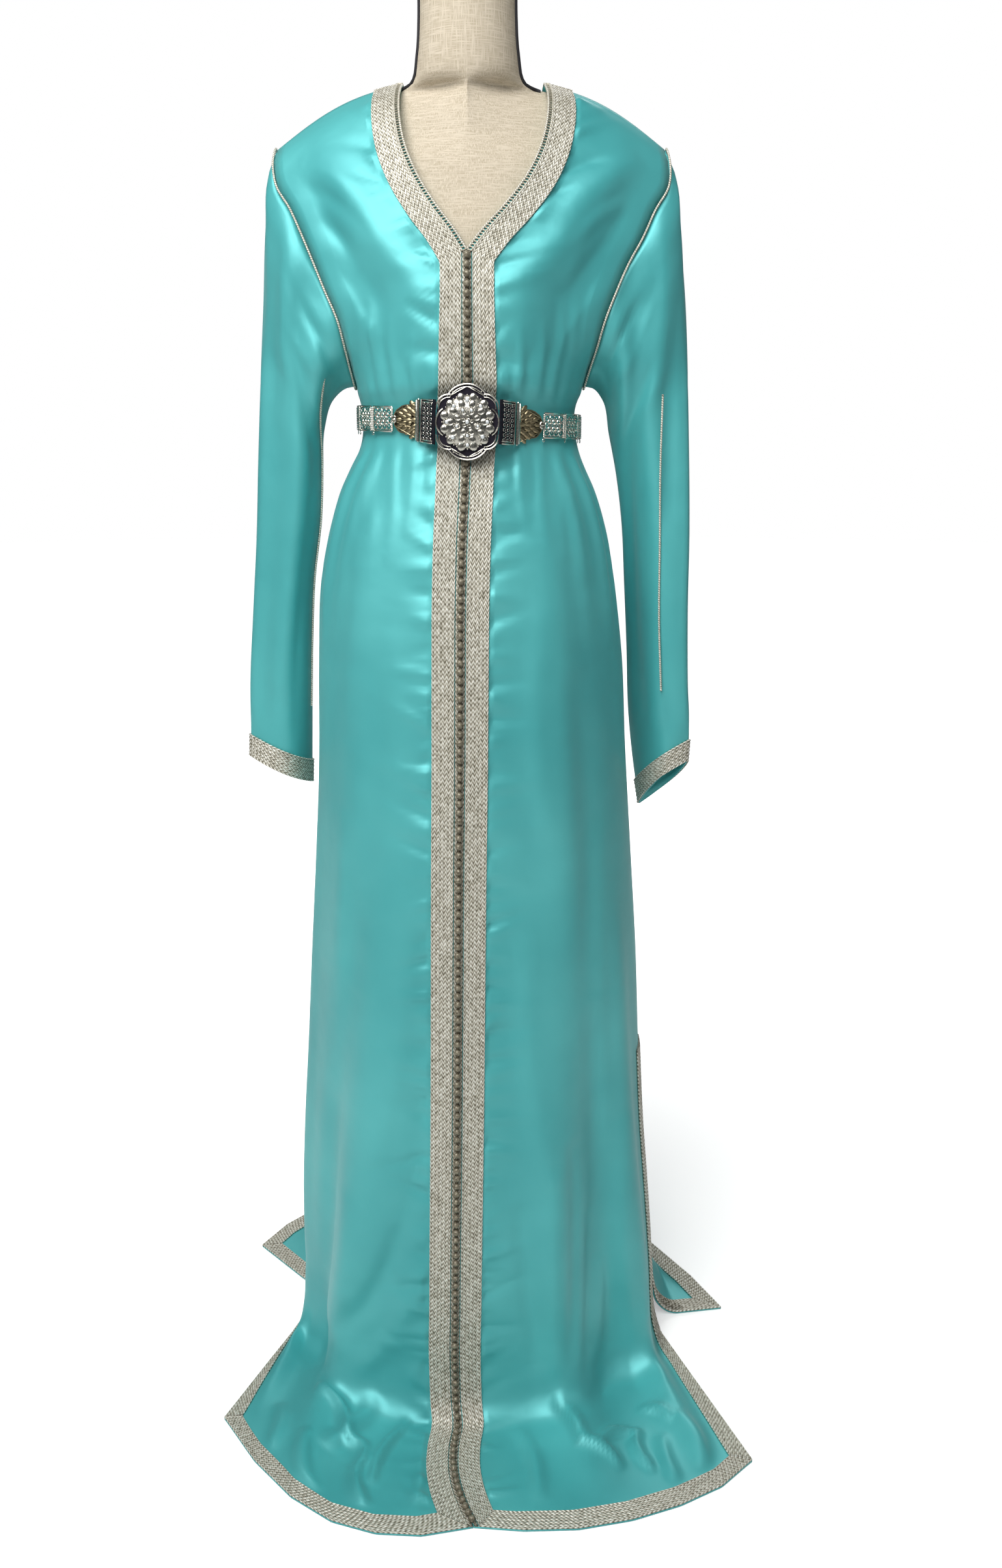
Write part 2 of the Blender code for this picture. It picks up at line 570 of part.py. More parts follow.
def sleeve_rings(side, table):
    """Rings of points down a sleeve: the armhole's own shape first, fading into flattened rings."""
    loop, leans = armhole_loop(side)
    around = len(loop)
    wide = wrapped(loop)
    away = unit(np.cross(wide[2:] - wide[:-2], leans))
    if (away[:, 0] * side).sum() < 0:
        away = -away
    first = loop + away * ARMHOLE_GAP
    inner = np.array([(side * row[0], row[1], row[2]) for row in table])
    outer = np.array([(side * row[3], row[4], row[5]) for row in table])
    middle = (inner + outer) / 2
    down = unit(np.gradient(middle, axis=0))
    step = np.arange(around)
    up = np.where(step <= around // 2, step, around - step) / (around // 2)
    even = (1 - np.cos(math.pi * up)) / 2
    chord = outer[0] - inner[0]
    share0 = (loop - inner[0]) @ chord / (chord @ chord)
    bulge0 = first - (inner[0] + share0[:, None] * chord)
    reach = np.concatenate([[0.0], np.cumsum(np.linalg.norm(np.diff(middle, axis=0), axis=1))])
    rings = []
    for i, row in enumerate(table):
        ridge, front, back = row[6:]
        fade = min(1.0, reach[i] / (SLEEVE_BLEND * reach[-1]))
        fade = fade * fade * (3 - 2 * fade)
        share = share0 * (1 - fade) + even * fade
        face_way = unit(np.cross(outer[i] - inner[i], down[i]))
        if face_way[1] > 0:
            face_way = -face_way
        rise = np.where(share < ridge, share / ridge, (1 - share) / (1 - ridge))
        rise = np.sin(np.clip(rise, 0, 1) * math.pi / 2) ** 0.8
        swell = np.sin(np.clip(share, 0, 1) * math.pi) ** 0.75
        depth = np.where(step <= around // 2, front * rise, -back * swell)
        bulge = bulge0 * (1 - fade) + face_way * (depth * fade)[:, None]
        rings.append(inner[i] + share[:, None] * (outer[i] - inner[i]) + bulge)
    rings = np.array(rings)
    rings[0] = first
    normals = grid_normals(rings, ring=True)
    centre = rings.mean(axis=1, keepdims=True)
    if (normals * (rings - centre)).sum() < 0:
        normals = -normals
    normals[0] = leans
    return rings, normals, loop


clear_scene()
satin = material("satin", SATIN, 0.35)
braid = material("silver_braid", SILVER, 0.5, 0.5)
cord_look = material("silver_cord", SILVER, 0.5, 0.3)
metal = material("belt_silver", (0.62, 0.61, 0.58), 0.35, 1.0)
bronze = material("belt_bronze", (0.42, 0.32, 0.18), 0.4, 1.0)
linen = material("form_linen", LINEN, 0.85)
steel = material("stand_steel", (0.25, 0.25, 0.25), 0.4, 1.0)
wood = material("neck_cap_wood", (0.20, 0.12, 0.07), 0.5)

edges = {}
fronts = {}

for side in (-1, 1):
    word = "left" if side < 0 else "right"
    grid = np.array([columns_of(row, TRIM_STEPS, FRONT_EVEN) for row in half_rows(-1, side)])
    grid[0, :, 1] -= SEAM
    grid[EDGE_ROW:, 0, 0] += side * SEAM
    grid[UNDERARM:, -1, 1] -= SEAM
    lean = panel_normals(grid, -1)
    wall("front_" + word, grid, inner_points(grid, lean), satin)
    fronts[side] = (grid, lean)
    edges[(-1, side)] = (grid[:, -1], lean[:, -1])
    last_row, last_column = grid.shape[0] - 2, grid.shape[1] - 2
    picot = grid[:EDGE_ROW + 1, 0:2].copy()
    picot[:, 1] += unit(picot[:, 0] - picot[:, 1]) * PICOT_SLIT
    strip("picot_" + word, picot, lean[:EDGE_ROW + 1, 0:2], braid)
    quads = cells(grid.shape, range(last_row + 1), (1, 2))
    quads += cells(grid.shape, (last_row,), range(3, last_column + 1))
    quads += cells(grid.shape, range(SLIT_ROW, last_row), (last_column,))
    flat, flat_lean = grid.reshape(-1, 3), lean.reshape(-1, 3)
    top, under = flat + flat_lean * (LIFT + BRAID), flat + flat_lean * LIFT
    wall_of("braid_front_" + word, top, under, quads, braid)

# The back is one piece: its two halves share the column at the middle back, below the neckline.
grids = {}
leans = {}
for side in (-1, 1):
    grids[side] = np.array([columns_of(row, BACK_STEPS, BACK_EVEN) for row in half_rows(1, side)])
    grids[side][0, :, 1] += SEAM
    grids[side][UNDERARM:, -1, 1] += SEAM
    leans[side] = panel_normals(grids[side], 1)
    edges[(1, side)] = (grids[side][:, -1], leans[side][:, -1])
for side in (-1, 1):
    middle = (grids[-1][BACK_NECK:, 0] + grids[1][BACK_NECK:, 0]) / 2
    grids[side][BACK_NECK:, 0] = middle
    leans[side][BACK_NECK:, 0] = unit(leans[-1][BACK_NECK:, 0] + leans[1][BACK_NECK:, 0])
shape = grids[1].shape
half_count = shape[0] * shape[1]
points = np.concatenate([grids[-1].reshape(-1, 3), grids[1].reshape(-1, 3)])
point_leans = np.concatenate([leans[-1].reshape(-1, 3), leans[1].reshape(-1, 3)])
inner = np.concatenate([inner_points(grids[s], leans[s]).reshape(-1, 3) for s in (-1, 1)])


def both_halves(left_quads):
    """The same cells on both halves; the right half's middle column below the neck is the left's."""
    found = [tuple(reversed(quad)) for quad in left_quads]
    for quad in left_quads:
        moved = []
        for corner in quad:
            row, column = divmod(corner, shape[1])
            shared = column == 0 and row >= BACK_NECK
            moved.append(corner if shared else corner + half_count)
        found.append(tuple(moved))
    return found


last_row, last_column = shape[0] - 2, shape[1] - 2
wall_of("back", points, inner, both_halves(cells(shape, range(last_row + 1), range(last_column + 1))), satin)
top, under = points + point_leans * (LIFT + BRAID), points + point_leans * LIFT


def back_depth(x, z):
    """How far back the cloth lies at a place on the upper back, read between the panel's own rows."""
    rows = grids[-1 if x < 0 else 1][:UNDERARM]
    heights = [np.interp(abs(x), np.abs(row[:, 0]), row[:, 2]) for row in rows]
    depths = [np.interp(abs(x), np.abs(row[:, 0]), row[:, 1]) for row in rows]
    return float(np.interp(-z, [-h for h in heights], depths))


# The neck braid runs round the back from shoulder to shoulder, turning square to the neckline.
panel_faces = []
for a, b, c, d in both_halves(cells(shape, range(UNDERARM), range(last_column + 1))):
    panel_faces += [(a, b, c), (a, c, d)]
panel_surface = BVHTree.FromPolygons([tuple(p) for p in points], panel_faces)
stations = [(-1, i, 0.0) for i in range(BACK_NECK)] + [(1, i, 0.0) for i in range(BACK_NECK, -1, -1)]
neckline = np.array([grids[side][i, 0] for side, i, _ in stations])
turns = np.array([NECK_TURN[i] for _, i, _ in stations])
sides = np.array([float(side) if i < BACK_NECK else 0.0 for side, i, _ in stations])
ways = np.column_stack([sides * np.cos(np.radians(turns)), np.zeros(len(turns)),
                        -np.sin(np.radians(turns))])
whole = np.arange(len(stations))
places = np.arange(0, len(stations) - 0.75, 0.5)
starts = np.column_stack([np.interp(places, whole, neckline[:, k]) for k in range(3)])
ways = unit(np.column_stack([np.interp(places, whole, ways[:, k]) for k in range(3)]))
neck_grid = []
for number, (start, way) in enumerate(zip(starts, ways)):
    band = []
    for step in (0.0, 0.25, 0.5, 0.75, 1.0):
        x, _, z = start + way * step * (PICOT_WIDTH + BRAID_WIDTH)
        if number in (0, len(starts) - 1):
            seam = grids[-1 if x < 0 else 1][0]
            band.append([x] + [np.interp(abs(x), np.abs(seam[:, 0]), seam[:, k]) for k in (1, 2)])
        elif step == 0:
            band.append(list(start))
        else:
            band.append(list(panel_surface.find_nearest((x, back_depth(x, z), z))[0]))
    neck_grid.append(band)
neck_grid = np.array(neck_grid)
neck_lean = grid_normals(neck_grid)
if neck_lean[len(starts) // 2, 2, 1] < 0:
    neck_lean = -neck_lean
neck_lean[[0, -1], :, 1] = 0
strip("braid_back_neck", neck_grid, unit(neck_lean), braid, lift=NECK_LIFT)
quads = cells(shape, (last_row,), range(last_column + 1))
quads += cells(shape, range(SLIT_ROW, last_row), (last_column,))
wall_of("braid_back_hem", top, under, both_halves(quads), braid)

for side, table in ((-1, SLEEVE_LEFT), (1, SLEEVE_RIGHT)):
    word = "left" if side < 0 else "right"
    rings, lean, loop = sleeve_rings(side, table)
    inside = rings - lean * CLOTH
    wall("sleeve_" + word, rings, inside, satin, ring=True)
    strip("cuff_braid_" + word, rings[-2:], lean[-2:], braid, ring=True)
    panel_lean = lean[0]
    sleeve_lean = unit(lean[1] + panel_lean * 0.2)
    way = unit(panel_lean + sleeve_lean)
    far = (CORD_RADIUS + 2 * LIFT) / np.maximum((way * panel_lean).sum(axis=1), 0.5)
    far[[1, -1]] += LIFT
    seam_line = (loop + rings[0]) / 2 + way * far[:, None]
    tube("armhole_cord_" + word, seam_line, CORD_RADIUS, cord_look, ring=True)
    column, first = SLEEVE_SEAM[side]
    path = rings[first:-2, column] + lean[first:-2, column] * (CORD_RADIUS + 2 * LIFT)
    tube("sleeve_cord_" + word, path, CORD_RADIUS, cord_look)

# The ball buttons stand in one row over the slit between the fronts, from the V-point to the hem.
left, left_lean = fronts[-1][0][EDGE_ROW:, 0], fronts[-1][1][EDGE_ROW:, 0]
right, right_lean = fronts[1][0][EDGE_ROW:, 0], fronts[1][1][EDGE_ROW:, 0]
line = (left + right) / 2 + unit(left_lean + right_lean) * (BUTTON_RADIUS + LIFT)
total = length_of(line) - 2 * BUTTON_MARGIN
pitch = total / BUTTONS
stations = BUTTON_MARGIN + np.arange(2 * BUTTONS + 1) * pitch / 2
radii = np.where(np.arange(2 * BUTTONS + 1) % 2 == 1, BUTTON_RADIUS, BUTTON_NECK)
tube("button_row", along(line, stations), radii, cord_look, sides=5, up=np.array([1.0, 0.0, 0.0]))
print("button line", round(total, 4), "pitch", round(pitch * 1000, 2))


# Belt.
def belt_oval(offset):
    """The belt's line round the waist, offset outward from the cloth, from the middle front and back."""
    _, _, left_half, right_half, front, back = SKIRT[0]
    angle = np.linspace(-math.pi, math.pi, 721)
    half = np.where(np.sin(angle) < 0, left_half, right_half) + offset
    deep = np.where(np.cos(angle) >= 0, front, back) + offset
    x = half * np.sin(angle)
    return np.column_stack([x, -deep * np.cos(angle), BELT_Z + BELT_TILT * x])


def plate(name, outline, thick, frame_at, look, bulge=0.0):
    """A flat plate: its outline in (across, up), stood at a place on the belt; bulge domes its face."""
    origin, across, out = frame_at
    up = np.cross(out, across)
    if up[2] < 0:
        up = -up
    ring = [origin + across * u + up * v for u, v in outline]
    count = len(ring)
    back_face = list(ring)
    front_face = [p + out * thick for p in ring]
    vertices = back_face + front_face
    faces = [tuple(range(count))]
    for i in range(count):
        j = (i + 1) % count
        faces.append((i, j, count + j, count + i))
    if bulge:
        vertices.append(origin + out * (thick + bulge) + up * np.mean([v for _, v in outline]))
        faces += [(count + i, count + (i + 1) % count, 2 * count) for i in range(count)]
    else:
        faces.append(tuple(count + i for i in range(count)))
    return add_object(name, vertices, faces, look, smooth=False)


def oval_outline(width, height, sides):
    turns = [2 * math.pi * i / sides for i in range(sides)]
    return [(width / 2 * math.cos(t), height / 2 * math.sin(t)) for t in turns]


def box_outline(width, height, narrow=None):
    """A plate wider than it is tall or the reverse; narrow is the height at its +across end."""
    other = height if narrow is None else narrow
    return [(-width / 2, -height / 2), (width / 2, -other / 2),
            (width / 2, other / 2), (-width / 2, height / 2)]


belt_line = belt_oval(BELT_LIFT)
middle = len(belt_line) // 2
front_line = {-1: belt_line[middle::-1], 1: belt_line[middle:]}


def on_belt(side, distance, forward=0.0):
    """Place, direction along the belt away from the buckle, and outward direction at a distance."""
    a, b, c = along(front_line[side], [distance - 0.002, distance, distance + 0.002])
    across = unit(c - a)
    out = unit(np.cross(across, [0.0, 0.0, 1.0]) * side)
    if out @ np.array([b[0], b[1], 0.0]) < 0:
        out = -out
    return b + out * forward, across, out


buckle_back = max(row[7] for row in FRONT[9:]) + 2 * BUTTON_RADIUS + LIFT - BUCKLE_SINK
front_frame = (np.array([0.0, -buckle_back, BELT_Z]), np.array([1.0, 0.0, 0.0]),
               np.array([0.0, -1.0, 0.0]))
plate("buckle_plate", oval_outline(BUCKLE_WIDTH, BUCKLE_HEIGHT, 32), BUCKLE_THICK, front_frame, metal)
dome_frame = (front_frame[0] + front_frame[2] * (BUCKLE_THICK + BELT_SLIT), front_frame[1], front_frame[2])
plate("buckle_dome", oval_outline(DOME_WIDTH, DOME_HEIGHT, 20), DOME_THICK, dome_frame, metal,
      bulge=DOME_BULGE)

for side in (-1, 1):
    word = "left" if side < 0 else "right"
    edge = np.array([side * (BUCKLE_WIDTH / 2 + BELT_SLIT), -buckle_back - WING_BACK, BELT_Z])
    fan_place, fan_across, fan_out = on_belt(side, FAN_PLACE, BELT_LIFT)
    near = fan_place - fan_across * FAN_REACH
    way = near - edge
    wing_across = unit(way)
    wing_out = unit(np.cross([0.0, 0.0, 1.0], wing_across) * -side)
    if wing_out[1] > 0:
        wing_out = -wing_out
    reach = float(np.linalg.norm(way))
    wing_mid = edge + wing_across * (reach * WING_MIDDLE)
    plate("wing_" + word, box_outline(reach * WING_SHARE, WING_HEIGHT), WING_THICK,
          (wing_mid, wing_across, wing_out), metal)
    bar = edge + wing_across * (reach * BAR_SHARE) + wing_out * BAR_RADIUS
    tube("hinge_bar_" + word, [bar + [0, 0, z] for z in (-BAR_HALF, BAR_HALF)], BAR_RADIUS, metal, sides=8,
         up=np.array([0.0, 1.0, 0.0]))
    plate("fan_" + word, box_outline(FAN_WIDTH, FAN_HEIGHT, FAN_NARROW), FAN_THICK,
          (fan_place, fan_across, fan_out), bronze)

first_link = FAN_PLACE + FAN_REACH - BELT_SLIT
around = length_of(belt_line)
link_pitch = (around - 2 * first_link) / LINK_COUNT
ring_line = np.concatenate([belt_line[middle:], belt_line[1:middle + 1]])
for i in range(LINK_COUNT):
    distance = first_link + (i + 0.5) * link_pitch
    a, b, c = along(ring_line, [distance - 0.002, distance, distance + 0.002])
    across = unit(c - a)
    out = unit(np.cross(across, [0.0, 0.0, 1.0]))
    if out @ np.array([b[0], b[1], 0.0]) < 0:
        out = -out
    plate("belt_link_%02d" % (i + 1), box_outline(LINK_WIDTH, LINK_HEIGHT), LINK_THICK,
          (b, across, out), metal)

# Dress form and stand.
vertices = []
for z, half_x, half_y, mid_y, power in FORM:
    for k in range(FORM_SIDES):
        turn = 2 * math.pi * k / FORM_SIDES
        c, s = math.cos(turn), math.sin(turn)
        x = half_x * math.copysign(abs(c) ** (2 / power), c)
        y = half_y * math.copysign(abs(s) ** (2 / power), s)
        vertices.append((x, mid_y + y, z))
faces = [tuple(range(FORM_SIDES)), tuple((len(FORM) - 1) * FORM_SIDES + k for k in range(FORM_SIDES))]
for i in range(len(FORM) - 1):
    for k in range(FORM_SIDES):
        m = (k + 1) % FORM_SIDES
        faces.append((i * FORM_SIDES + k, i * FORM_SIDES + m,
                      (i + 1) * FORM_SIDES + m, (i + 1) * FORM_SIDES + k))
add_object("form_torso", vertices, faces, linen)


def turned(name, profile, look, sides=24):
    """A solid turned about the Z axis from (radius, height) points, closed at both ends."""
    vertices = [(r * math.cos(2 * math.pi * k / sides), r * math.sin(2 * math.pi * k / sides), z)
                for r, z in profile for k in range(sides)]
    faces = [tuple(range(sides)), tuple((len(profile) - 1) * sides + k for k in range(sides))]
    for i in range(len(profile) - 1):
        for k in range(sides):
            m = (k + 1) % sides
            faces.append((i * sides + k, i * sides + m, (i + 1) * sides + m, (i + 1) * sides + k))
    return add_object(name, vertices, faces, look)


turned("stand_base", [(BASE_RADIUS, 0.0), (BASE_RADIUS, BASE_THICK - BASE_EDGE),
                      (BASE_RADIUS - BASE_EDGE, BASE_THICK)], steel)
turned("stand_pole", [(POLE_RADIUS, BASE_THICK + STAND_SLIT),
                      (POLE_RADIUS, TORSO_BOTTOM - STAND_SLIT)], steel, 16)
cap_z = NECK_TOP + STAND_SLIT
turned("neck_cap", [(0.050, cap_z), (0.050, cap_z + 0.006), (0.042, cap_z + 0.014), (0.015, cap_z + 0.019),
                    (0.009, cap_z + 0.030)], wood, 20)
print("triangles", sum(len(p.vertices) - 2 for o in bpy.data.objects for p in o.data.polygons))
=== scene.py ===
import math

import bmesh
import bpy
import numpy as np
from mathutils import Matrix, Vector
from mathutils.bvhtree import BVHTree


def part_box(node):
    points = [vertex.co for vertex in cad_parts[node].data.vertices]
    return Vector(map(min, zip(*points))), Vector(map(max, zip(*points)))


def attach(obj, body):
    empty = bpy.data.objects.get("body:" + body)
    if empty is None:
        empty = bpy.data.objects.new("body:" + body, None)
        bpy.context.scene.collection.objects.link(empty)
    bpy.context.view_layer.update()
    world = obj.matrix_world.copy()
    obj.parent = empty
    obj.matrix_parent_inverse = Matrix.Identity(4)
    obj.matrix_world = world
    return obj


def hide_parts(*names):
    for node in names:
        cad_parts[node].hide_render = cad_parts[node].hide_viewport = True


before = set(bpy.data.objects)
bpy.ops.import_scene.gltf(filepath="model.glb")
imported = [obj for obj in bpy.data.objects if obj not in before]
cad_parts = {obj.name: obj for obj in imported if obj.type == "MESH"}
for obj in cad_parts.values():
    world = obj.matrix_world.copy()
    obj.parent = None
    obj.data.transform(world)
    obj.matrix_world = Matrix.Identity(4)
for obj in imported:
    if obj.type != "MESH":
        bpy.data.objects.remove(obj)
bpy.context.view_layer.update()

# %% [markdown]
# ## Camera, light and floor
# The photograph was taken from a little above the belt, tilted down, so that the hem spreads out below.
# A soft light hangs high in front, because the bust and the shoulders are the brightest satin. A wide
# fill on each side keeps the folds soft, and the floor is plain and pale.
# %% Camera, light and floor
LENS = 31.395                 # millimetres on a frame 36 mm tall
CAMERA_AT = (0.0355, -1.62, 1.155)
CAMERA_TILT = 14.5            # degrees below level


def clear_selection():
    for item in bpy.context.selected_objects:
        item.select_set(False)


def srgb(code):
    """A hex colour such as "8fe3e0" as linear red, green, blue and full opacity."""
    parts = [int(code[i:i + 2], 16) / 255 for i in (0, 2, 4)]
    linear = [p / 12.92 if p <= 0.04045 else ((p + 0.055) / 1.055) ** 2.4 for p in parts]
    return (*linear, 1.0)


clear_selection()
camera_data = bpy.data.cameras.new("camera")
camera_data.lens = LENS
camera_data.sensor_fit = "VERTICAL"
camera_data.sensor_height = 36
camera = bpy.data.objects.new("camera", camera_data)
camera.location = CAMERA_AT
camera.rotation_euler = (math.radians(90 - CAMERA_TILT), 0, 0)
bpy.context.scene.collection.objects.link(camera)
bpy.context.scene.camera = camera
bpy.context.scene.view_settings.view_transform = "Standard"


def soft_light(name, place, target, size, power):
    """A square softbox that looks at a point."""
    data = bpy.data.lights.new(name, "AREA")
    data.shape = "SQUARE"
    data.size = size
    data.energy = power
    light = bpy.data.objects.new(name, data)
    light.location = place
    light.rotation_euler = (Vector(target) - Vector(place)).to_track_quat("-Z", "Y").to_euler()
    bpy.context.scene.collection.objects.link(light)


soft_light("key_light", (-0.70, -1.70, 2.9), (0, 0, 0.9), 2.2, 98)
soft_light("left_light", (-2.7, -0.8, 1.6), (0, 0, 0.7), 1.4, 3)
soft_light("right_light", (2.7, -0.8, 1.8), (0, 0, 0.7), 1.4, 3)
soft_light("back_light", (0.4, 2.8, 2.6), (0, 0, 0.9), 1.8, 30)

world = bpy.data.worlds.new("studio")
bpy.context.scene.world = world
world.use_nodes = True
backdrop = world.node_tree.nodes["Background"]
backdrop.inputs["Strength"].default_value = 1.0

bpy.ops.mesh.primitive_circle_add(vertices=96, radius=14, fill_type="NGON", location=(0, 0, -0.0006))
floor = bpy.context.object
floor.name = "floor"
print("camera", CAMERA_AT, "tilt", CAMERA_TILT)

# %% [markdown]
# ## Finishes
# Each finish starts from what the real thing is. Satin is a smooth weave of long floating threads: it
# shines in broad soft patches of its own colour, so it gets some metallic colour in its gloss and a
# middling roughness, with a fine thread grain as bump. The braid is metal-wrapped thread, the belt is
# cast silver-coloured metal darkened in its hollows, and the form wears plain unbleached linen.
# %% One helper for shader nodes
def add_node(tree, kind, links=(), stops=(), to=None, **settings):
    """Adds a node with its settings. Links are pairs: an input, and the output or number that fills it.

    Stops are a ramp's places and hex colours, lowest first, and `to` is the input that its output fills.
    """
    made = tree.nodes.new(kind)
    for number, (place, colour) in enumerate(stops):
        marks = made.color_ramp.elements
        mark = marks[number] if number < len(marks) else marks.new(place)
        mark.position, mark.color = place, srgb(colour)
    for name, value in settings.items():
        if hasattr(made, name):
            setattr(made, name, value)
        else:
            made.inputs[name.replace("_", " ")].default_value = value
    for socket, source in links:
        if isinstance(source, bpy.types.NodeSocket):
            tree.links.new(source, made.inputs[socket])
        else:
            made.inputs[socket].default_value = source
    if to is not None:
        tree.links.new(made.outputs[0], to)
    return made


def new_finish(name, colour, roughness, metallic=0.0):
    """A material with the numbers that are the same all over its surface."""
    made = bpy.data.materials.new(name)
    made.use_nodes = True
    shader = made.node_tree.nodes["Principled BSDF"]
    shader.inputs["Base Color"].default_value = srgb(colour)
    shader.inputs["Roughness"].default_value = roughness
    shader.inputs["Metallic"].default_value = metallic
    return made, made.node_tree, shader


print("finishes before any piece", len(bpy.data.materials))

# %% The studio round the stage
# What the lens sees behind the stage is white paper. What lights the object is the dimmer room, a little
# brighter overhead, so that the sides of the satin fall off softly as they do in front of one big light.
room = world.node_tree
room_way = add_node(room, "ShaderNodeTexCoord").outputs["Generated"]
room_height = add_node(room, "ShaderNodeSeparateXYZ", [("Vector", room_way)]).outputs["Z"]
add_node(room, "ShaderNodeValToRGB", [("Fac", room_height)], [(0.0, "4a4d4e"), (0.7, "5e6162")],
         backdrop.inputs["Color"])
paper = add_node(room, "ShaderNodeBackground", Color=srgb("ffffff"), Strength=1.0)
seen = add_node(room, "ShaderNodeLightPath").outputs["Is Camera Ray"]
add_node(room, "ShaderNodeMixShader",
         [("Fac", seen), (1, backdrop.outputs["Background"]), (2, paper.outputs["Background"])],
         to=room.nodes["World Output"].inputs["Surface"])
print("nodes round the stage", len(room.nodes))

# %% Satin
THREAD = 0.0011               # metres between satin threads: real ones are finer, and would not show
CRUMPLE = 0.035               # metres across the small soft dents that handling leaves in satin


def satin_finish():
    """Polyester satin: warp-faced weave, pressed smooth, which gives wide soft highlights."""
    made, tree, shader = new_finish("polyester_satin", "4eb2b3", 0.46, 0.28)
    shader.inputs["Sheen Weight"].default_value = 0.18
    shader.inputs["Sheen Roughness"].default_value = 0.45
    shader.inputs["Sheen Tint"].default_value = srgb("c8f6f2")
    shader.inputs["Specular IOR Level"].default_value = 0.7
    place = add_node(tree, "ShaderNodeTexCoord").outputs["Object"]
    tone = add_node(tree, "ShaderNodeTexNoise", [("Vector", place)], Scale=5.0, Detail=3.0)
    add_node(tree, "ShaderNodeValToRGB", [("Fac", tone.outputs["Fac"])],
             [(0.30, "41a6a8"), (0.72, "5abebe")], shader.inputs["Base Color"])
    dents = add_node(tree, "ShaderNodeTexNoise", [("Vector", place)], Scale=1 / CRUMPLE, Detail=2.5,
                     Roughness=0.55)
    soft = add_node(tree, "ShaderNodeBump", [("Height", dents.outputs["Fac"])], Strength=0.32,
                    Distance=0.0022)
    uv = add_node(tree, "ShaderNodeUVMap", uv_map="cloth").outputs["UV"]
    grain = add_node(tree, "ShaderNodeTexWave", [("Vector", uv)], Scale=1 / THREAD,
                     Distortion=1.2, Detail=1.0)
    add_node(tree, "ShaderNodeBump", [("Height", grain.outputs["Fac"]), ("Normal", soft.outputs["Normal"])],
             to=shader.inputs["Normal"], Strength=0.05, Distance=0.0002)
    return made


satin = satin_finish()
print("nodes of the satin", len(satin.node_tree.nodes))

# %% Metal thread braid and cord
BRAID_WIDTH = 0.025           # metres across the galloon
STITCH = 0.0052               # metres from one chain stitch of the braid to the next
CORD_TWIST = 0.0026           # metres from one strand of a cord to the next
COLUMNS = 5                   # chain columns side by side in the galloon
EDGE_CORD = 0.0019            # width of the cord along each of its edges


def thread_painted_shade_and_highlight(tree, shader, height, low, middle, high):
    """Metal thread coloured by how high it lies: painted shade, brown, in the gaps and a painted highlight,
    pale, where threads cross on top. The same height makes the bump.
    """
    add_node(tree, "ShaderNodeValToRGB", [("Fac", height)], [(0.14, low), (0.46, middle), (0.88, high)],
             shader.inputs["Base Color"])
    add_node(tree, "ShaderNodeBump", [("Height", height)], to=shader.inputs["Normal"], Strength=0.8,
             Distance=0.0009)


def braid_finish():
    """Silver-coloured metal thread, braided flat: chain stitches in columns that slant to and fro."""
    made, tree, shader = new_finish("metal_thread_braid", "b3ad9b", 0.40, 0.20)
    uv = add_node(tree, "ShaderNodeUVMap", uv_map="braid").outputs["UV"]
    split = add_node(tree, "ShaderNodeSeparateXYZ", [("Vector", uv)])
    per_metre = COLUMNS / (BRAID_WIDTH - 2 * EDGE_CORD)
    column = add_node(tree, "ShaderNodeMath", [(0, split.outputs["Y"]), (1, per_metre),
                                               (2, -EDGE_CORD * per_metre)], operation="MULTIPLY_ADD")
    slant = add_node(tree, "ShaderNodeMath", [(0, column.outputs["Value"]), (1, 0.5)], operation="PINGPONG")
    stitch = add_node(tree, "ShaderNodeMath", [(0, split.outputs["X"]), (1, 1 / STITCH)],
                      operation="MULTIPLY")
    phase = add_node(tree, "ShaderNodeMath", [(0, slant.outputs["Value"]), (1, 1.8),
                                              (2, stitch.outputs["Value"])], operation="MULTIPLY_ADD")
    wave = add_node(tree, "ShaderNodeMath", [(0, phase.outputs["Value"]), (1, 0.5)], operation="PINGPONG")
    # The relief attribute and the noise below go into the colour, as painted shade in the grooves and painted
    # glints, and into the bump as well.
    relief = add_node(tree, "ShaderNodeAttribute", attribute_name="relief").outputs["Fac"]
    place = add_node(tree, "ShaderNodeTexCoord").outputs["Object"]
    painted_glint = add_node(tree, "ShaderNodeTexNoise", [("Vector", place)], Scale=230.0, Detail=4.0)
    painted_glint_spread = add_node(tree, "ShaderNodeMath", [(0, painted_glint.outputs["Fac"]), (1, 0.90), (2, -0.45)],
                     operation="MULTIPLY_ADD")
    raised = add_node(tree, "ShaderNodeMath", [(0, relief), (1, 0.26), (2, painted_glint_spread.outputs["Value"])],
                      operation="MULTIPLY_ADD")
    height = add_node(tree, "ShaderNodeMath", [(0, wave.outputs["Value"]), (1, 1.25),
                                               (2, raised.outputs["Value"])], operation="MULTIPLY_ADD")
    thread_painted_shade_and_highlight(tree, shader, height.outputs["Value"], "645e4c", "bdb7a5", "fbf9f1")
    return made


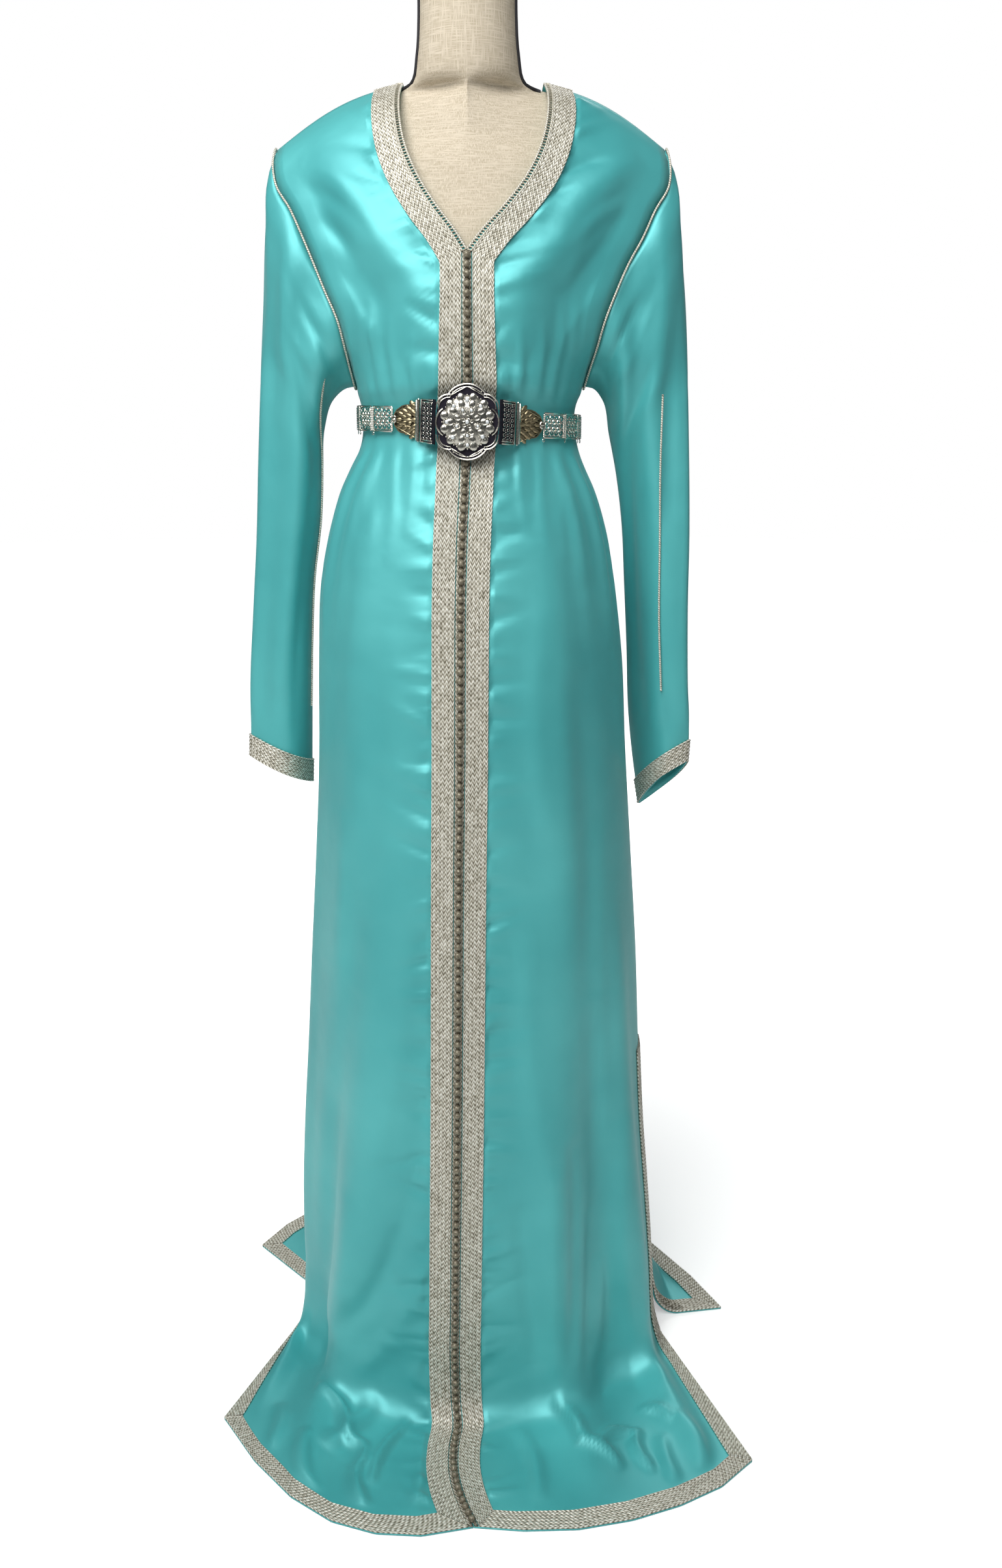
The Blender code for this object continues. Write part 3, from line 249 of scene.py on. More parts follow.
def cord_finish(name, low, middle, high):
    """Cord twisted from three strands: its UV runs along it and round it, so the strands slant. Its colour
    paints shade between the strands, highlights on them and glints, which go into the bump as well.
    """
    made, tree, shader = new_finish(name, middle, 0.38, 0.25)
    uv = add_node(tree, "ShaderNodeUVMap", uv_map="braid").outputs["UV"]
    split = add_node(tree, "ShaderNodeSeparateXYZ", [("Vector", uv)])
    phase = add_node(tree, "ShaderNodeMath", [(0, split.outputs["X"]), (1, 1 / CORD_TWIST),
                                              (2, split.outputs["Y"])], operation="MULTIPLY_ADD")
    strand = add_node(tree, "ShaderNodeMath", [(0, phase.outputs["Value"]), (1, 0.5)], operation="PINGPONG")
    place = add_node(tree, "ShaderNodeTexCoord").outputs["Object"]
    painted_glint = add_node(tree, "ShaderNodeTexNoise", [("Vector", place)], Scale=450.0, Detail=2.0)
    twisted = add_node(tree, "ShaderNodeMath", [(0, strand.outputs["Value"]), (1, 1.1)],
                       operation="MULTIPLY")
    height = add_node(tree, "ShaderNodeMath", [(0, painted_glint.outputs["Fac"]), (1, 0.6),
                                               (2, twisted.outputs["Value"])], operation="MULTIPLY_ADD")
    thread_painted_shade_and_highlight(tree, shader, height.outputs["Value"], low, middle, high)
    return made


braid_look = braid_finish()
cord_look = cord_finish("twisted_metal_cord", "706955", "bab4a2", "efece2")
ball_look = cord_finish("knotted_metal_cord", "4a4233", "a39b86", "e6e2d5")
# A dark finish for the cord under the buttons, which paints shade in the gaps between them.
shade_look, _, _ = new_finish("dark_core_painted_shade", "6f6552", 0.85)
print("finishes so far", [m.name for m in bpy.data.materials][-4:])


# %% Metals and crystal
def aged_metal(name, bright, dark, roughness):
    """Cast base metal with a silver or bronze wash, left dark in its hollows."""
    made, tree, shader = new_finish(name, bright, roughness, 1.0)
    place = add_node(tree, "ShaderNodeTexCoord").outputs["Object"]
    hollow = add_node(tree, "ShaderNodeNewGeometry").outputs["Pointiness"]
    stain = add_node(tree, "ShaderNodeTexNoise", [("Vector", place)], Scale=260.0, Detail=3.0)
    total = add_node(tree, "ShaderNodeMath", [(0, stain.outputs["Fac"]), (1, 0.25), (2, hollow)],
                     operation="MULTIPLY_ADD")
    add_node(tree, "ShaderNodeValToRGB", [("Fac", total.outputs["Value"])], [(0.56, dark), (0.66, bright)],
             shader.inputs["Base Color"])
    add_node(tree, "ShaderNodeBump", [("Height", stain.outputs["Fac"])], to=shader.inputs["Normal"],
             Strength=0.35, Distance=0.0004)
    return made


silver = aged_metal("cast_silvered_zinc", "cfcbc0", "3f3b42", 0.24)
hollow_silver, _, _ = new_finish("blackened_silvered_zinc", "2f2b36", 0.45, 0.8)
bronze = aged_metal("antiqued_bronze", "968a6e", "2a231a", 0.32)
crystal, _, crystal_shader = new_finish("cut_glass_crystal", "dfe4e5", 0.05, 0.25)
crystal_shader.inputs["IOR"].default_value = 1.62
crystal_shader.inputs["Coat Weight"].default_value = 1.0
print("metals and crystal", silver.name, hollow_silver.name, bronze.name, crystal.name)


# %% Linen, piping, steel and wood
def linen_finish():
    """Unbleached linen stretched over padding: an uneven plain weave with thick and thin threads."""
    made, tree, shader = new_finish("unbleached_linen", "cfc3b0", 0.9)
    place = add_node(tree, "ShaderNodeTexCoord").outputs["Object"]
    across = add_node(tree, "ShaderNodeMapping", [("Vector", place)], Scale=(60, 60, 900))
    down = add_node(tree, "ShaderNodeMapping", [("Vector", place)], Scale=(900, 900, 60))
    weft, warp = (add_node(tree, "ShaderNodeTexNoise", [("Vector", way.outputs["Vector"])], Scale=1.0,
                           Detail=2.0) for way in (across, down))
    both = add_node(tree, "ShaderNodeMath", [(0, weft.outputs["Fac"]), (1, warp.outputs["Fac"])],
                    operation="MAXIMUM")
    add_node(tree, "ShaderNodeValToRGB", [("Fac", both.outputs["Value"])],
             [(0.42, "b3a690"), (0.66, "cec2ae")], shader.inputs["Base Color"])
    add_node(tree, "ShaderNodeBump", [("Height", both.outputs["Value"])], to=shader.inputs["Normal"],
             Strength=0.4, Distance=0.0005)
    return made


linen = linen_finish()
piping_look, _, _ = new_finish("black_cotton_piping", "15141a", 0.7)


def steel_finish():
    """Tube and plate with a black powder coat, which is faintly pebbled."""
    made, tree, shader = new_finish("black_powder_coated_steel", "1c1c1e", 0.5)
    place = add_node(tree, "ShaderNodeTexCoord").outputs["Object"]
    pebble = add_node(tree, "ShaderNodeTexNoise", [("Vector", place)], Scale=700.0, Detail=1.0)
    add_node(tree, "ShaderNodeBump", [("Height", pebble.outputs["Fac"])], to=shader.inputs["Normal"],
             Strength=0.3, Distance=0.0002)
    return made


def wood_finish():
    """Turned and varnished beech, stained brown: rings stretched along the grain."""
    made, tree, shader = new_finish("stained_beech", "5a3a22", 0.35)
    place = add_node(tree, "ShaderNodeTexCoord").outputs["Object"]
    grain = add_node(tree, "ShaderNodeTexNoise", [("Vector", place)], Scale=90.0, Detail=4.0, Distortion=2.0)
    add_node(tree, "ShaderNodeValToRGB", [("Fac", grain.outputs["Fac"])], [(0.0, "3b2414"), (1.0, "7a5232")],
             shader.inputs["Base Color"])
    return made


steel = steel_finish()
wood = wood_finish()
print("for the form and its stand", linen.name, piping_look.name, steel.name, wood.name)

# %% The paper floor
# The floor is studio paper. To the lens its far parts glow, so that it runs into the paper all round.
floor_look, floor_tree, floor_shader = new_finish("white_studio_paper", "f7f7f6", 0.8)
floor_place = add_node(floor_tree, "ShaderNodeTexCoord").outputs["Object"]
floor_far = add_node(floor_tree, "ShaderNodeVectorMath", [("Vector", floor_place)], operation="LENGTH")
floor_ramp = add_node(floor_tree, "ShaderNodeMapRange", [("Value", floor_far.outputs["Value"])],
                      From_Min=0.3, From_Max=1.5, To_Min=0.40, To_Max=1.0)
floor_seen = add_node(floor_tree, "ShaderNodeLightPath").outputs["Is Camera Ray"]
add_node(floor_tree, "ShaderNodeMath", [(0, floor_ramp.outputs["Result"]), (1, floor_seen)],
         to=floor_shader.inputs["Emission Strength"], operation="MULTIPLY")
floor_shader.inputs["Emission Color"].default_value = srgb("ffffff")
floor.data.materials.append(floor_look)
print("finishes", [m.name for m in bpy.data.materials if m.users])

# %% [markdown]
# ## Rows of the cloth
# A pattern cutter would draft each panel flat. Here a panel is drafted as it hangs: rows cross it from
# the front edge to the side edge, from the shoulder seam to the hem on the floor. Each number is a place
# on the body in metres, so a row can be moved without touching the others.
# %% The drafted rows of the upper body
# Upper body. One row from the front edge to the side edge, shoulder seam first, belt last.
# edge_z: height at the neck or centre edge; neck_l, neck_r: how far the V has opened there;
# side_z, side_l, side_r: armhole or side seam; half: half width of the body's oval; depth: its front.
FRONT = [
    # edge_z neck_l  neck_r  side_z side_l  side_r  half   depth
    (1.5170, 0.0710, 0.0820, 1.4520, 0.2080, 0.2140, 0.250, 0.000),
    (1.5030, 0.0725, 0.0850, 1.4370, 0.2100, 0.2170, 0.250, 0.026),
    (1.4780, 0.0715, 0.0845, 1.4110, 0.2060, 0.2160, 0.242, 0.053),
    (1.4450, 0.0650, 0.0775, 1.3850, 0.1900, 0.2010, 0.228, 0.075),
    (1.4120, 0.0510, 0.0620, 1.3570, 0.1770, 0.1880, 0.212, 0.090),
    (1.3820, 0.0320, 0.0390, 1.3290, 0.1650, 0.1720, 0.198, 0.100),
    (1.3560, 0.0120, 0.0150, 1.3000, 0.1530, 0.1590, 0.185, 0.106),
    (1.3370, 0.0000, 0.0000, 1.2720, 0.1410, 0.1480, 0.170, 0.110),
    (1.3050, 0.0000, 0.0000, 1.2430, 0.1345, 0.1400, 0.150, 0.116),
    (1.2680, 0.0000, 0.0000, 1.2210, 0.1310, 0.1330, 0.1350, 0.119),
    (1.2330, 0.0000, 0.0000, 1.2020, 0.1280, 0.1280, 0.1280, 0.119),
    (1.2050, 0.0000, 0.0000, 1.1935, 0.1265, 0.1255, 0.1265, 0.117),
]
# The back's own columns for the same rows: the neckline sits higher, and the back is flatter.
BACK = [
    # edge_z neck    depth
    (1.5170, 0.0765, 0.000),
    (1.5080, 0.0730, 0.020),
    (1.4990, 0.0600, 0.040),
    (1.4930, 0.0360, 0.056),
    (1.4900, 0.0000, 0.066),
    (1.4620, 0.0000, 0.078),
    (1.4150, 0.0000, 0.091),
    (1.3700, 0.0000, 0.096),
    (1.3230, 0.0000, 0.098),
    (1.2750, 0.0000, 0.098),
    (1.2330, 0.0000, 0.097),
    (1.2040, 0.0000, 0.095),
]
SHOULDER_BOW = 0.011     # the shoulder seam stands this much above a straight line at its middle
BACK_NECK_SHIFT = 0.0055 # the back's neckline lies this far toward +X, as the front's does
UNDERARM = 10            # the row at which the armhole closes and the side seam starts
print("rows of the upper body", len(FRONT), len(BACK))

# %% The drafted skirt and its turn onto the floor
# Skirt ovals from the belt to the floor, with the placket's sideways drift.
SKIRT = [
    # z      placket  left   right  front  back
    (1.1885, -0.0010, 0.1250, 0.1230, 0.1090, 0.0930),
    (1.1385, -0.0015, 0.1250, 0.1230, 0.1090, 0.0930),
    (1.1150, -0.0030, 0.1355, 0.1310, 0.1150, 0.1060),
    (1.0900, -0.0040, 0.1470, 0.1420, 0.1210, 0.1180),
    (1.0500, -0.0060, 0.1600, 0.1550, 0.1300, 0.1310),
    (0.9850, -0.0080, 0.1740, 0.1680, 0.1410, 0.1460),
    (0.9000, -0.0090, 0.1805, 0.1790, 0.1500, 0.1540),
    (0.7900, -0.0100, 0.1840, 0.1855, 0.1585, 0.1595),
    (0.6600, -0.0120, 0.1875, 0.1950, 0.1660, 0.1640),
    (0.5300, -0.0135, 0.1940, 0.2045, 0.1725, 0.1685),
    (0.4000, -0.0150, 0.2010, 0.2110, 0.1800, 0.1740),
    (0.3000, -0.0165, 0.2070, 0.2170, 0.1870, 0.1790),
    (0.2100, -0.0180, 0.2110, 0.2250, 0.1940, 0.1850),
    (0.1400, -0.0190, 0.2120, 0.2310, 0.1990, 0.1900),
    (0.0850, -0.0200, 0.2120, 0.2350, 0.2030, 0.1940),
]
# From the last oval the cloth turns onto the floor: run is metres outward, share is of the way from
# there to the hem braid, and height is that of the cloth's upper side. The hem itself comes last.
TURN = [
    # run    share height
    (0.0040, 0.00, 0.048),
    (0.0120, 0.00, 0.021),
    (0.0270, 0.00, 0.006),
    (0.0270, 0.25, 0.002),
    (0.0270, 0.50, 0.002),
    (0.0270, 0.75, 0.002),
    (0.0270, 1.00, 0.002),
]
SLIT_ROW = 22            # the row at which the side slits begin, 0.4 m above the floor
SIDE_SEAM_TOP = -4.0     # degrees behind the widest point at which a side seam starts under the arm
SIDE_SEAM_LEFT = 9.0     # and the same at the floor
SIDE_SEAM_RIGHT = -5.0
PLACKET_BOW = 0.013      # the placket swings this far to the left on the floor, and back at the hem
HEM_SHARE = 1.2          # the hem's own share, where 1 is the inner edge of its braid
print("rows of the skirt and of its turn", len(SKIRT), len(TURN))

# %% The drafted hems and large folds
# Hems on the floor, from the front middle or back middle to the corner at the slit.
HEMS = {
    "front_left": [(0.006, -0.384), (-0.050, -0.396), (-0.100, -0.393), (-0.150, -0.376),
                   (-0.200, -0.340), (-0.250, -0.285), (-0.298, -0.215)],
    "front_right": [(0.006, -0.384), (0.060, -0.389), (0.120, -0.387), (0.180, -0.374),
                    (0.235, -0.353), (0.285, -0.325), (0.326, -0.285)],
    "back_left": [(0.000, 0.330), (-0.070, 0.326), (-0.140, 0.308), (-0.205, 0.275),
                  (-0.252, 0.236), (-0.285, 0.198), (-0.313, 0.145)],
    "back_right": [(0.000, 0.330), (0.070, 0.316), (0.137, 0.282), (0.200, 0.227),
                   (0.257, 0.148), (0.302, 0.070), (0.334, -0.001)],
}

# Large folds of the skirt and body: a ridge (or trough, if height is negative) down the cloth.
# share: place across the half, 0 at the middle and 1 at the side seam, at the top and bottom;
# from_row, to_row: where it fades in and out; width: half width as a share; height: metres.
FOLDS = {
    "front_left": [
        (0.60, 0.64, 13.0, 17.5, 0.060, 0.0050),
        (0.76, 0.80, 13.0, 18.0, 0.055, 0.0060),
        (0.90, 0.92, 13.0, 18.0, 0.045, 0.0030),
        (0.46, 0.52, 15.0, 24.0, 0.100, 0.0070),
        (0.24, 0.66, 19.0, 33.0, 0.120, 0.0190),
        (0.44, 0.80, 20.0, 30.0, 0.080, -0.0130),
        (0.84, 0.88, 19.0, 33.0, 0.080, 0.0130),
        (0.55, 0.25, 1.5, 9.5, 0.140, 0.0080),
        (0.80, 0.56, 2.5, 9.5, 0.100, -0.0060),
    ],
    "front_right": [
        (0.58, 0.60, 13.0, 17.5, 0.060, 0.0050),
        (0.75, 0.78, 13.0, 18.0, 0.055, 0.0060),
        (0.90, 0.92, 13.0, 18.0, 0.045, 0.0030),
        (0.40, 0.44, 15.0, 25.0, 0.100, 0.0070),
        (0.30, 0.46, 20.0, 33.0, 0.090, 0.0140),
        (0.52, 0.62, 21.0, 30.0, 0.080, -0.0120),
        (0.68, 0.82, 20.0, 33.0, 0.085, 0.0170),
        (0.55, 0.25, 1.5, 9.5, 0.140, 0.0080),
        (0.80, 0.56, 2.5, 9.5, 0.100, -0.0060),
    ],
    "back_left": [
        (0.28, 0.32, 13.0, 20.0, 0.080, 0.0060),
        (0.55, 0.60, 13.0, 19.0, 0.070, 0.0065),
        (0.82, 0.84, 13.0, 18.0, 0.060, 0.0055),
        (0.24, 0.36, 18.0, 33.0, 0.130, 0.0160),
        (0.62, 0.68, 19.0, 33.0, 0.110, 0.0150),
    ],
    "back_right": [
        (0.26, 0.28, 13.0, 20.0, 0.080, 0.0060),
        (0.52, 0.56, 13.0, 19.0, 0.070, 0.0065),
        (0.80, 0.82, 13.0, 18.0, 0.060, 0.0055),
        (0.30, 0.42, 18.0, 33.0, 0.130, 0.0160),
        (0.66, 0.74, 19.0, 33.0, 0.110, 0.0130),
    ],
}

print("hems and folds of", list(HEMS), sum(len(folds) for folds in FOLDS.values()))

# %% The drafted sleeves
# Each row is a flattened ring from an inner point (underarm side) to an outer point.
# ridge: share of the way from inner to outer at which the front stands out most; front, back: depths.
SLEEVE_LEFT = [
    # in_x   in_y   in_z   out_x  out_y   out_z  ridge front  back
    (0.1290, 0.005, 1.2000, 0.2090, 0.000, 1.4520, 0.50, 0.060, 0.045),
    (0.1400, 0.006, 1.1985, 0.2165, -0.003, 1.4330, 0.50, 0.058, 0.044),
    (0.1560, 0.010, 1.1870, 0.2205, -0.006, 1.3850, 0.50, 0.054, 0.040),
    (0.1680, 0.014, 1.1570, 0.2260, -0.008, 1.3050, 0.50, 0.048, 0.036),
    (0.1720, 0.018, 1.1100, 0.2350, -0.010, 1.2150, 0.50, 0.044, 0.032),
    (0.1760, 0.020, 1.0500, 0.2420, -0.010, 1.1300, 0.46, 0.042, 0.029),
    (0.1870, 0.020, 0.9800, 0.2480, -0.010, 1.0400, 0.46, 0.040, 0.027),
    (0.1920, 0.020, 0.9050, 0.2560, -0.010, 0.9500, 0.46, 0.040, 0.025),
    (0.1945, 0.020, 0.8300, 0.2630, -0.010, 0.8680, 0.46, 0.038, 0.024),
    (0.1965, 0.018, 0.7640, 0.2660, -0.008, 0.8010, 0.50, 0.034, 0.022),
    (0.1975, 0.016, 0.7360, 0.2680, -0.006, 0.7740, 0.50, 0.032, 0.020),
]
SLEEVE_RIGHT = [
    # in_x   in_y   in_z   out_x  out_y   out_z  ridge front  back
    (0.1290, 0.005, 1.2000, 0.2150, 0.000, 1.4520, 0.50, 0.060, 0.045),
    (0.1400, 0.008, 1.1985, 0.2240, -0.003, 1.4330, 0.52, 0.058, 0.044),
    (0.1520, 0.016, 1.1870, 0.2300, -0.008, 1.3850, 0.56, 0.052, 0.040),
    (0.1610, 0.024, 1.1500, 0.2390, -0.012, 1.3100, 0.62, 0.044, 0.036),
    (0.1710, 0.032, 1.1050, 0.2450, -0.016, 1.2200, 0.68, 0.036, 0.032),
    (0.1790, 0.038, 1.0500, 0.2480, -0.020, 1.1300, 0.74, 0.030, 0.030),
    (0.1840, 0.042, 0.9800, 0.2500, -0.022, 1.0400, 0.78, 0.026, 0.028),
    (0.1890, 0.044, 0.9000, 0.2510, -0.022, 0.9500, 0.80, 0.024, 0.026),
    (0.1930, 0.044, 0.8200, 0.2550, -0.020, 0.8680, 0.78, 0.024, 0.024),
    (0.2040, 0.042, 0.7310, 0.2610, -0.016, 0.7960, 0.72, 0.026, 0.022),
    (0.2090, 0.040, 0.7010, 0.2600, -0.014, 0.7690, 0.70, 0.026, 0.020),
]
SLEEVE_BLEND = 0.32      # share of the sleeve's length over which the armhole's shape fades out
print("rings of a sleeve", len(SLEEVE_LEFT), len(SLEEVE_RIGHT))

# %% The drafted dress form
TORSO_BOTTOM = 0.930
NECK_TOP = 1.620
# Dress form, as flat ovals from the hips up: power 2 is an ellipse, less is more like a diamond.
FORM = [
    # z      half_x  half_y  mid_y  power
    (TORSO_BOTTOM, 0.1580, 0.1300, 0.004, 2.0),
    (0.9850, 0.1560, 0.1310, 0.004, 2.0),
    (1.0500, 0.1440, 0.1190, 0.002, 2.0),
    (1.0900, 0.1310, 0.1090, 0.000, 2.0),
    (1.1250, 0.1185, 0.0965, -0.003, 2.0),
    (1.1600, 0.1140, 0.0900, -0.007, 2.0),
    (1.1950, 0.1150, 0.0935, -0.009, 2.0),
    (1.2300, 0.1185, 0.0985, -0.010, 2.0),
    (1.2700, 0.1240, 0.0990, -0.009, 2.0),
    (1.3100, 0.1310, 0.0960, -0.008, 2.0),
    (1.3600, 0.1450, 0.0880, -0.008, 2.0),
    (1.4000, 0.1700, 0.0780, -0.005, 1.9),
    (1.4380, 0.1880, 0.0680, -0.003, 1.5),
    (1.4570, 0.1900, 0.0600, -0.002, 1.2),
    (1.4768, 0.1660, 0.0560, -0.001, 1.05),
    (1.4985, 0.1210, 0.0500, 0.000, 0.9),
    (1.5090, 0.0850, 0.0480, 0.000, 0.9),
    (1.5152, 0.0630, 0.0500, 0.000, 1.6),
    (1.5400, 0.0560, 0.0520, 0.000, 2.0),
    (1.5800, 0.0530, 0.0510, 0.000, 2.0),
    (NECK_TOP, 0.0530, 0.0510, 0.000, 2.0),
]
print("ovals of the form", len(FORM))

# %% Sizes shared with the solids
CLOTH = 0.002            # height of the upper side of cloth that lies on the floor
SEAM = 0.0003            # half of the slit between two pieces at a seam
LIFT = 0.0004            # slit between a trim and the cloth under it
BRAID = 0.0018           # thickness of the flat silver braid
PICOT_WIDTH = 0.006      # looped lace along the neck edge, and half of the strip for the buttons
ARMHOLE_GAP = 0.0010     # slit between the armhole's edge and the sleeve
CORD_RADIUS = 0.0016     # round cord over the armhole and sleeve seams
BUTTONS = 154            # ball buttons from the V-point to the hem
BUTTON_RADIUS = 0.0046
BUTTON_MARGIN = 0.002    # bare ends of the row
EDGE_ROW = 7             # the front's row at the V-point
BACK_NECK = 4            # the back's row at the middle of the neckline
BELT_Z = 1.1635          # height of the belt's middle line at the centre front
DENSE = 121              # points worked out along each row
SIDES = ((-1, "left"), (1, "right"))
print("drafted rows", len(FRONT) + len(SKIRT) + len(TURN) + 1)

# %% Helpers for lines and grids of points


def unit(vectors):
    length = np.linalg.norm(vectors, axis=-1, keepdims=True)
    return vectors / np.maximum(length, 1e-12)


def ease(value):
    """0 below 0, 1 above 1, and a smooth rise between."""
    value = np.clip(value, 0.0, 1.0)
    return value * value * (3 - 2 * value)


def running(points):
    """Each point's distance from the first, along the line of points."""
    return np.concatenate([[0.0], np.cumsum(np.linalg.norm(np.diff(points, axis=0), axis=1))])


def between(places, known, points):
    """Points at places on a scale on which the given points have known places."""
    return np.column_stack([np.interp(places, known, column) for column in points.T])


def along(points, distances):
    """Points at the given distances along a line of points; past its end they stay at the end."""
    points = np.asarray(points, float)
    return between(distances, running(points), points)


def length_of(points):
    return float(np.linalg.norm(np.diff(np.asarray(points, float), axis=0), axis=1).sum())


def wrapped(points):
    """A closed line with its last point again before it, and its first again after it."""
    return np.concatenate([points[-1:], points, points[:1]])


def facing(normals, away):
    """The normals, or their opposites if they point against the given directions."""
    return -normals if (normals * away).sum() < 0 else normals


def grid_normals(grid, ring=False):
    down = np.gradient(grid, axis=0)
    if ring:
        wide = np.concatenate([grid[:, -1:], grid, grid[:, :1]], axis=1)
        across = (wide[:, 2:] - wide[:, :-2]) / 2
    else:
        across = np.gradient(grid, axis=1)
    return unit(np.cross(across, down))


def steps_between(points, step):
    """How many fine rows each gap between two rows needs."""
    gaps = np.linalg.norm(np.diff(points, axis=0), axis=-1).mean(axis=1)
    return [max(1, round(float(gap) / step)) for gap in gaps]


def smooth_between(points, counts, corners=None, closed=False):
    """More rows between the given ones, on smooth curves through all of them.

    counts is how many rows each gap gets, or one step in metres for all. corners gives, for some rows,
    how sharply each point may turn there: 0 is smooth and 1 is a corner. The second result is the number
    of each new row, counted in given rows.
    """
    points = np.asarray(points, float)
    if closed:
        points = np.concatenate([points, points[:1]])
    if not hasattr(counts, "__len__"):
        counts = steps_between(points, counts)
    gaps = np.maximum(np.linalg.norm(np.diff(points, axis=0), axis=-1, keepdims=True), 1e-6)
    ways = np.diff(points, axis=0) / gaps
    into = np.empty_like(points)
    into[1:-1] = (ways[:-1] * gaps[1:] + ways[1:] * gaps[:-1]) / (gaps[1:] + gaps[:-1])
    into[0], into[-1] = ways[0], ways[-1]
    if closed:
        into[0] = (ways[-1] * gaps[0] + ways[0] * gaps[-1]) / (gaps[0] + gaps[-1])
        into[-1] = into[0]
    out = into.copy()
    for row, sharp in (corners or {}).items():
        sharp = np.asarray(sharp)[:, None]
        last = row if row else len(points) - 1
        into[last] = into[last] * (1 - sharp) + ways[row - 1] * sharp
        out[row] = out[row] * (1 - sharp) + ways[row] * sharp
    made, numbers = [], []
    for i in range(len(points) - 1):
        for k in range(counts[i]):
            s = k / counts[i]
            made.append((2 * s**3 - 3 * s**2 + 1) * points[i] + (s**3 - 2 * s**2 + s) * gaps[i] * out[i]
                        + (3 * s**2 - 2 * s**3) * points[i + 1] + (s**3 - s**2) * gaps[i] * into[i + 1])
            numbers.append(i + s)
    if not closed:
        made.append(points[-1])
        numbers.append(len(points) - 1)
    return np.array(made), np.array(numbers, float)


# %% Rows of one half of the front or back
def half_name(face, side):
    return ("front" if face < 0 else "back") + ("_left" if side < 0 else "_right")


def side_angle(face, side, z):
    """The side seam's angle on the body's oval. It swings from under the arm to its place on the floor."""
    down = min(max((1.0 - z) / 0.5, 0.0), 1.0)
    floor = SIDE_SEAM_LEFT if side < 0 else SIDE_SEAM_RIGHT
    angle = math.radians(90.0 + SIDE_SEAM_TOP + (floor - SIDE_SEAM_TOP) * down)
    return angle if face < 0 else math.pi - angle


def oval_arc(half, depth, other_depth, first, last):
    """Points from the middle edge to the side: depth is this half's, other_depth the half behind it."""
    angle = np.linspace(first, last, DENSE)
    deep = np.where(np.cos(angle) >= 0, depth, other_depth)
    return np.stack([half * np.sin(angle), -deep * np.cos(angle)], axis=1)


def body_rows(face, side):
    """Rows from the shoulder seam to the floor."""
    rows = []
    for number, (edge_z, neck_l, neck_r, side_z, side_l, side_r, half, depth) in enumerate(FRONT):
        neck, reach = (neck_l, side_l) if side < 0 else (neck_r, side_r)
        other = BACK[number][2]
        if face > 0:
            other = depth
            edge_z, neck, depth = BACK[number]
            neck = max(neck + BACK_NECK_SHIFT * side, 0.0) if neck > 0 else 0.0
        half = max(half, reach)
        first = math.asin(neck / half)
        last = side_angle(face, side, BELT_Z) if number >= UNDERARM else math.asin(reach / half)
        if number >= UNDERARM:
            half = reach
        flat = oval_arc(half, depth, other, first, last)
        share = (flat[:, 0] - flat[0, 0]) / (flat[:, 0].max() - flat[0, 0])
        height = edge_z + (side_z - edge_z) * share
        height += SHOULDER_BOW * max(0, 1 - number / 5) * np.sin(math.pi * share)
        rows.append(np.column_stack([side * flat[:, 0], -face * flat[:, 1], height]))
    for z, centre, left, right, front, back in SKIRT:
        near, far = (front, back) if face < 0 else (back, front)
        middle = centre if face < 0 else 0.0
        width = (left if side < 0 else right) - side * middle
        flat = oval_arc(width, near, far, 0.0, side_angle(face, side, z))
        rows.append(np.column_stack([middle + side * flat[:, 0], -face * flat[:, 1], np.full(DENSE, z)]))
    return [row + fold_shift(row, i, face, side) for i, row in enumerate(rows)]


def half_rows(face, side):
    """Rows of one half. face is -1 for the front and +1 for the back; side is -1 for the left, +1 right."""
    rows = body_rows(face, side)
    start, count = rows[-1], len(rows)
    hem_points = HEMS[half_name(face, side)]
    hem = along(hem_points, np.linspace(0, length_of(hem_points), DENSE))
    outward = hem - start[:, :2]
    distance = np.linalg.norm(outward, axis=1, keepdims=True)
    ahead = outward / distance
    steps = [(ahead * (run + share * (distance - BRAID_WIDTH - run)), share, height)
             for run, share, height in TURN] + [(outward, HEM_SHARE, CLOTH)]
    for step, (moved, share, height) in enumerate(steps):
        place = start[:, :2] + moved
        if face < 0:
            bow = -PLACKET_BOW * math.sin(math.pi * share / HEM_SHARE)
            place[:, 0] += bow * (1 - np.linspace(0, 1, DENSE)) ** 2
        lifted = np.full(DENSE, height) + floor_lift(count + step, face, side)
        rows.append(np.column_stack([place, lifted]))
    return rows


def fold_profile(row, face, side):
    """Sum of the folds across a row: DENSE heights in metres."""
    across = np.linspace(0, 1, DENSE)
    total = np.zeros(DENSE)
    for top, bottom, first, last, width, height in FOLDS[half_name(face, side)]:
        if not first < row < last:
            continue
        down = (row - first) / (last - first)
        place = top + (bottom - top) * down
        fade = math.sin(math.pi * down) ** 0.7
        total += height * fade * np.exp(-((across - place) / width) ** 2)
    edge = np.clip(across / 0.16, 0, 1) * np.clip((1 - across) / 0.06, 0, 1)
    return total * edge


def fold_shift(row, i, face, side):
    """The folds of a row on the body, pushed straight out from the figure."""
    out = row.copy()
    out[:, 2] = 0
    out[:, 0] *= 0.6
    calm = 0.0 if i in (0, 12, 13) else 1.0
    return unit(out) * (fold_profile(i, face, side) * calm)[:, None]


def floor_lift(i, face, side):
    """On the floor a ridge stands up and a trough stays flat."""
    return np.maximum(fold_profile(i, face, side), 0.0) * 1.2
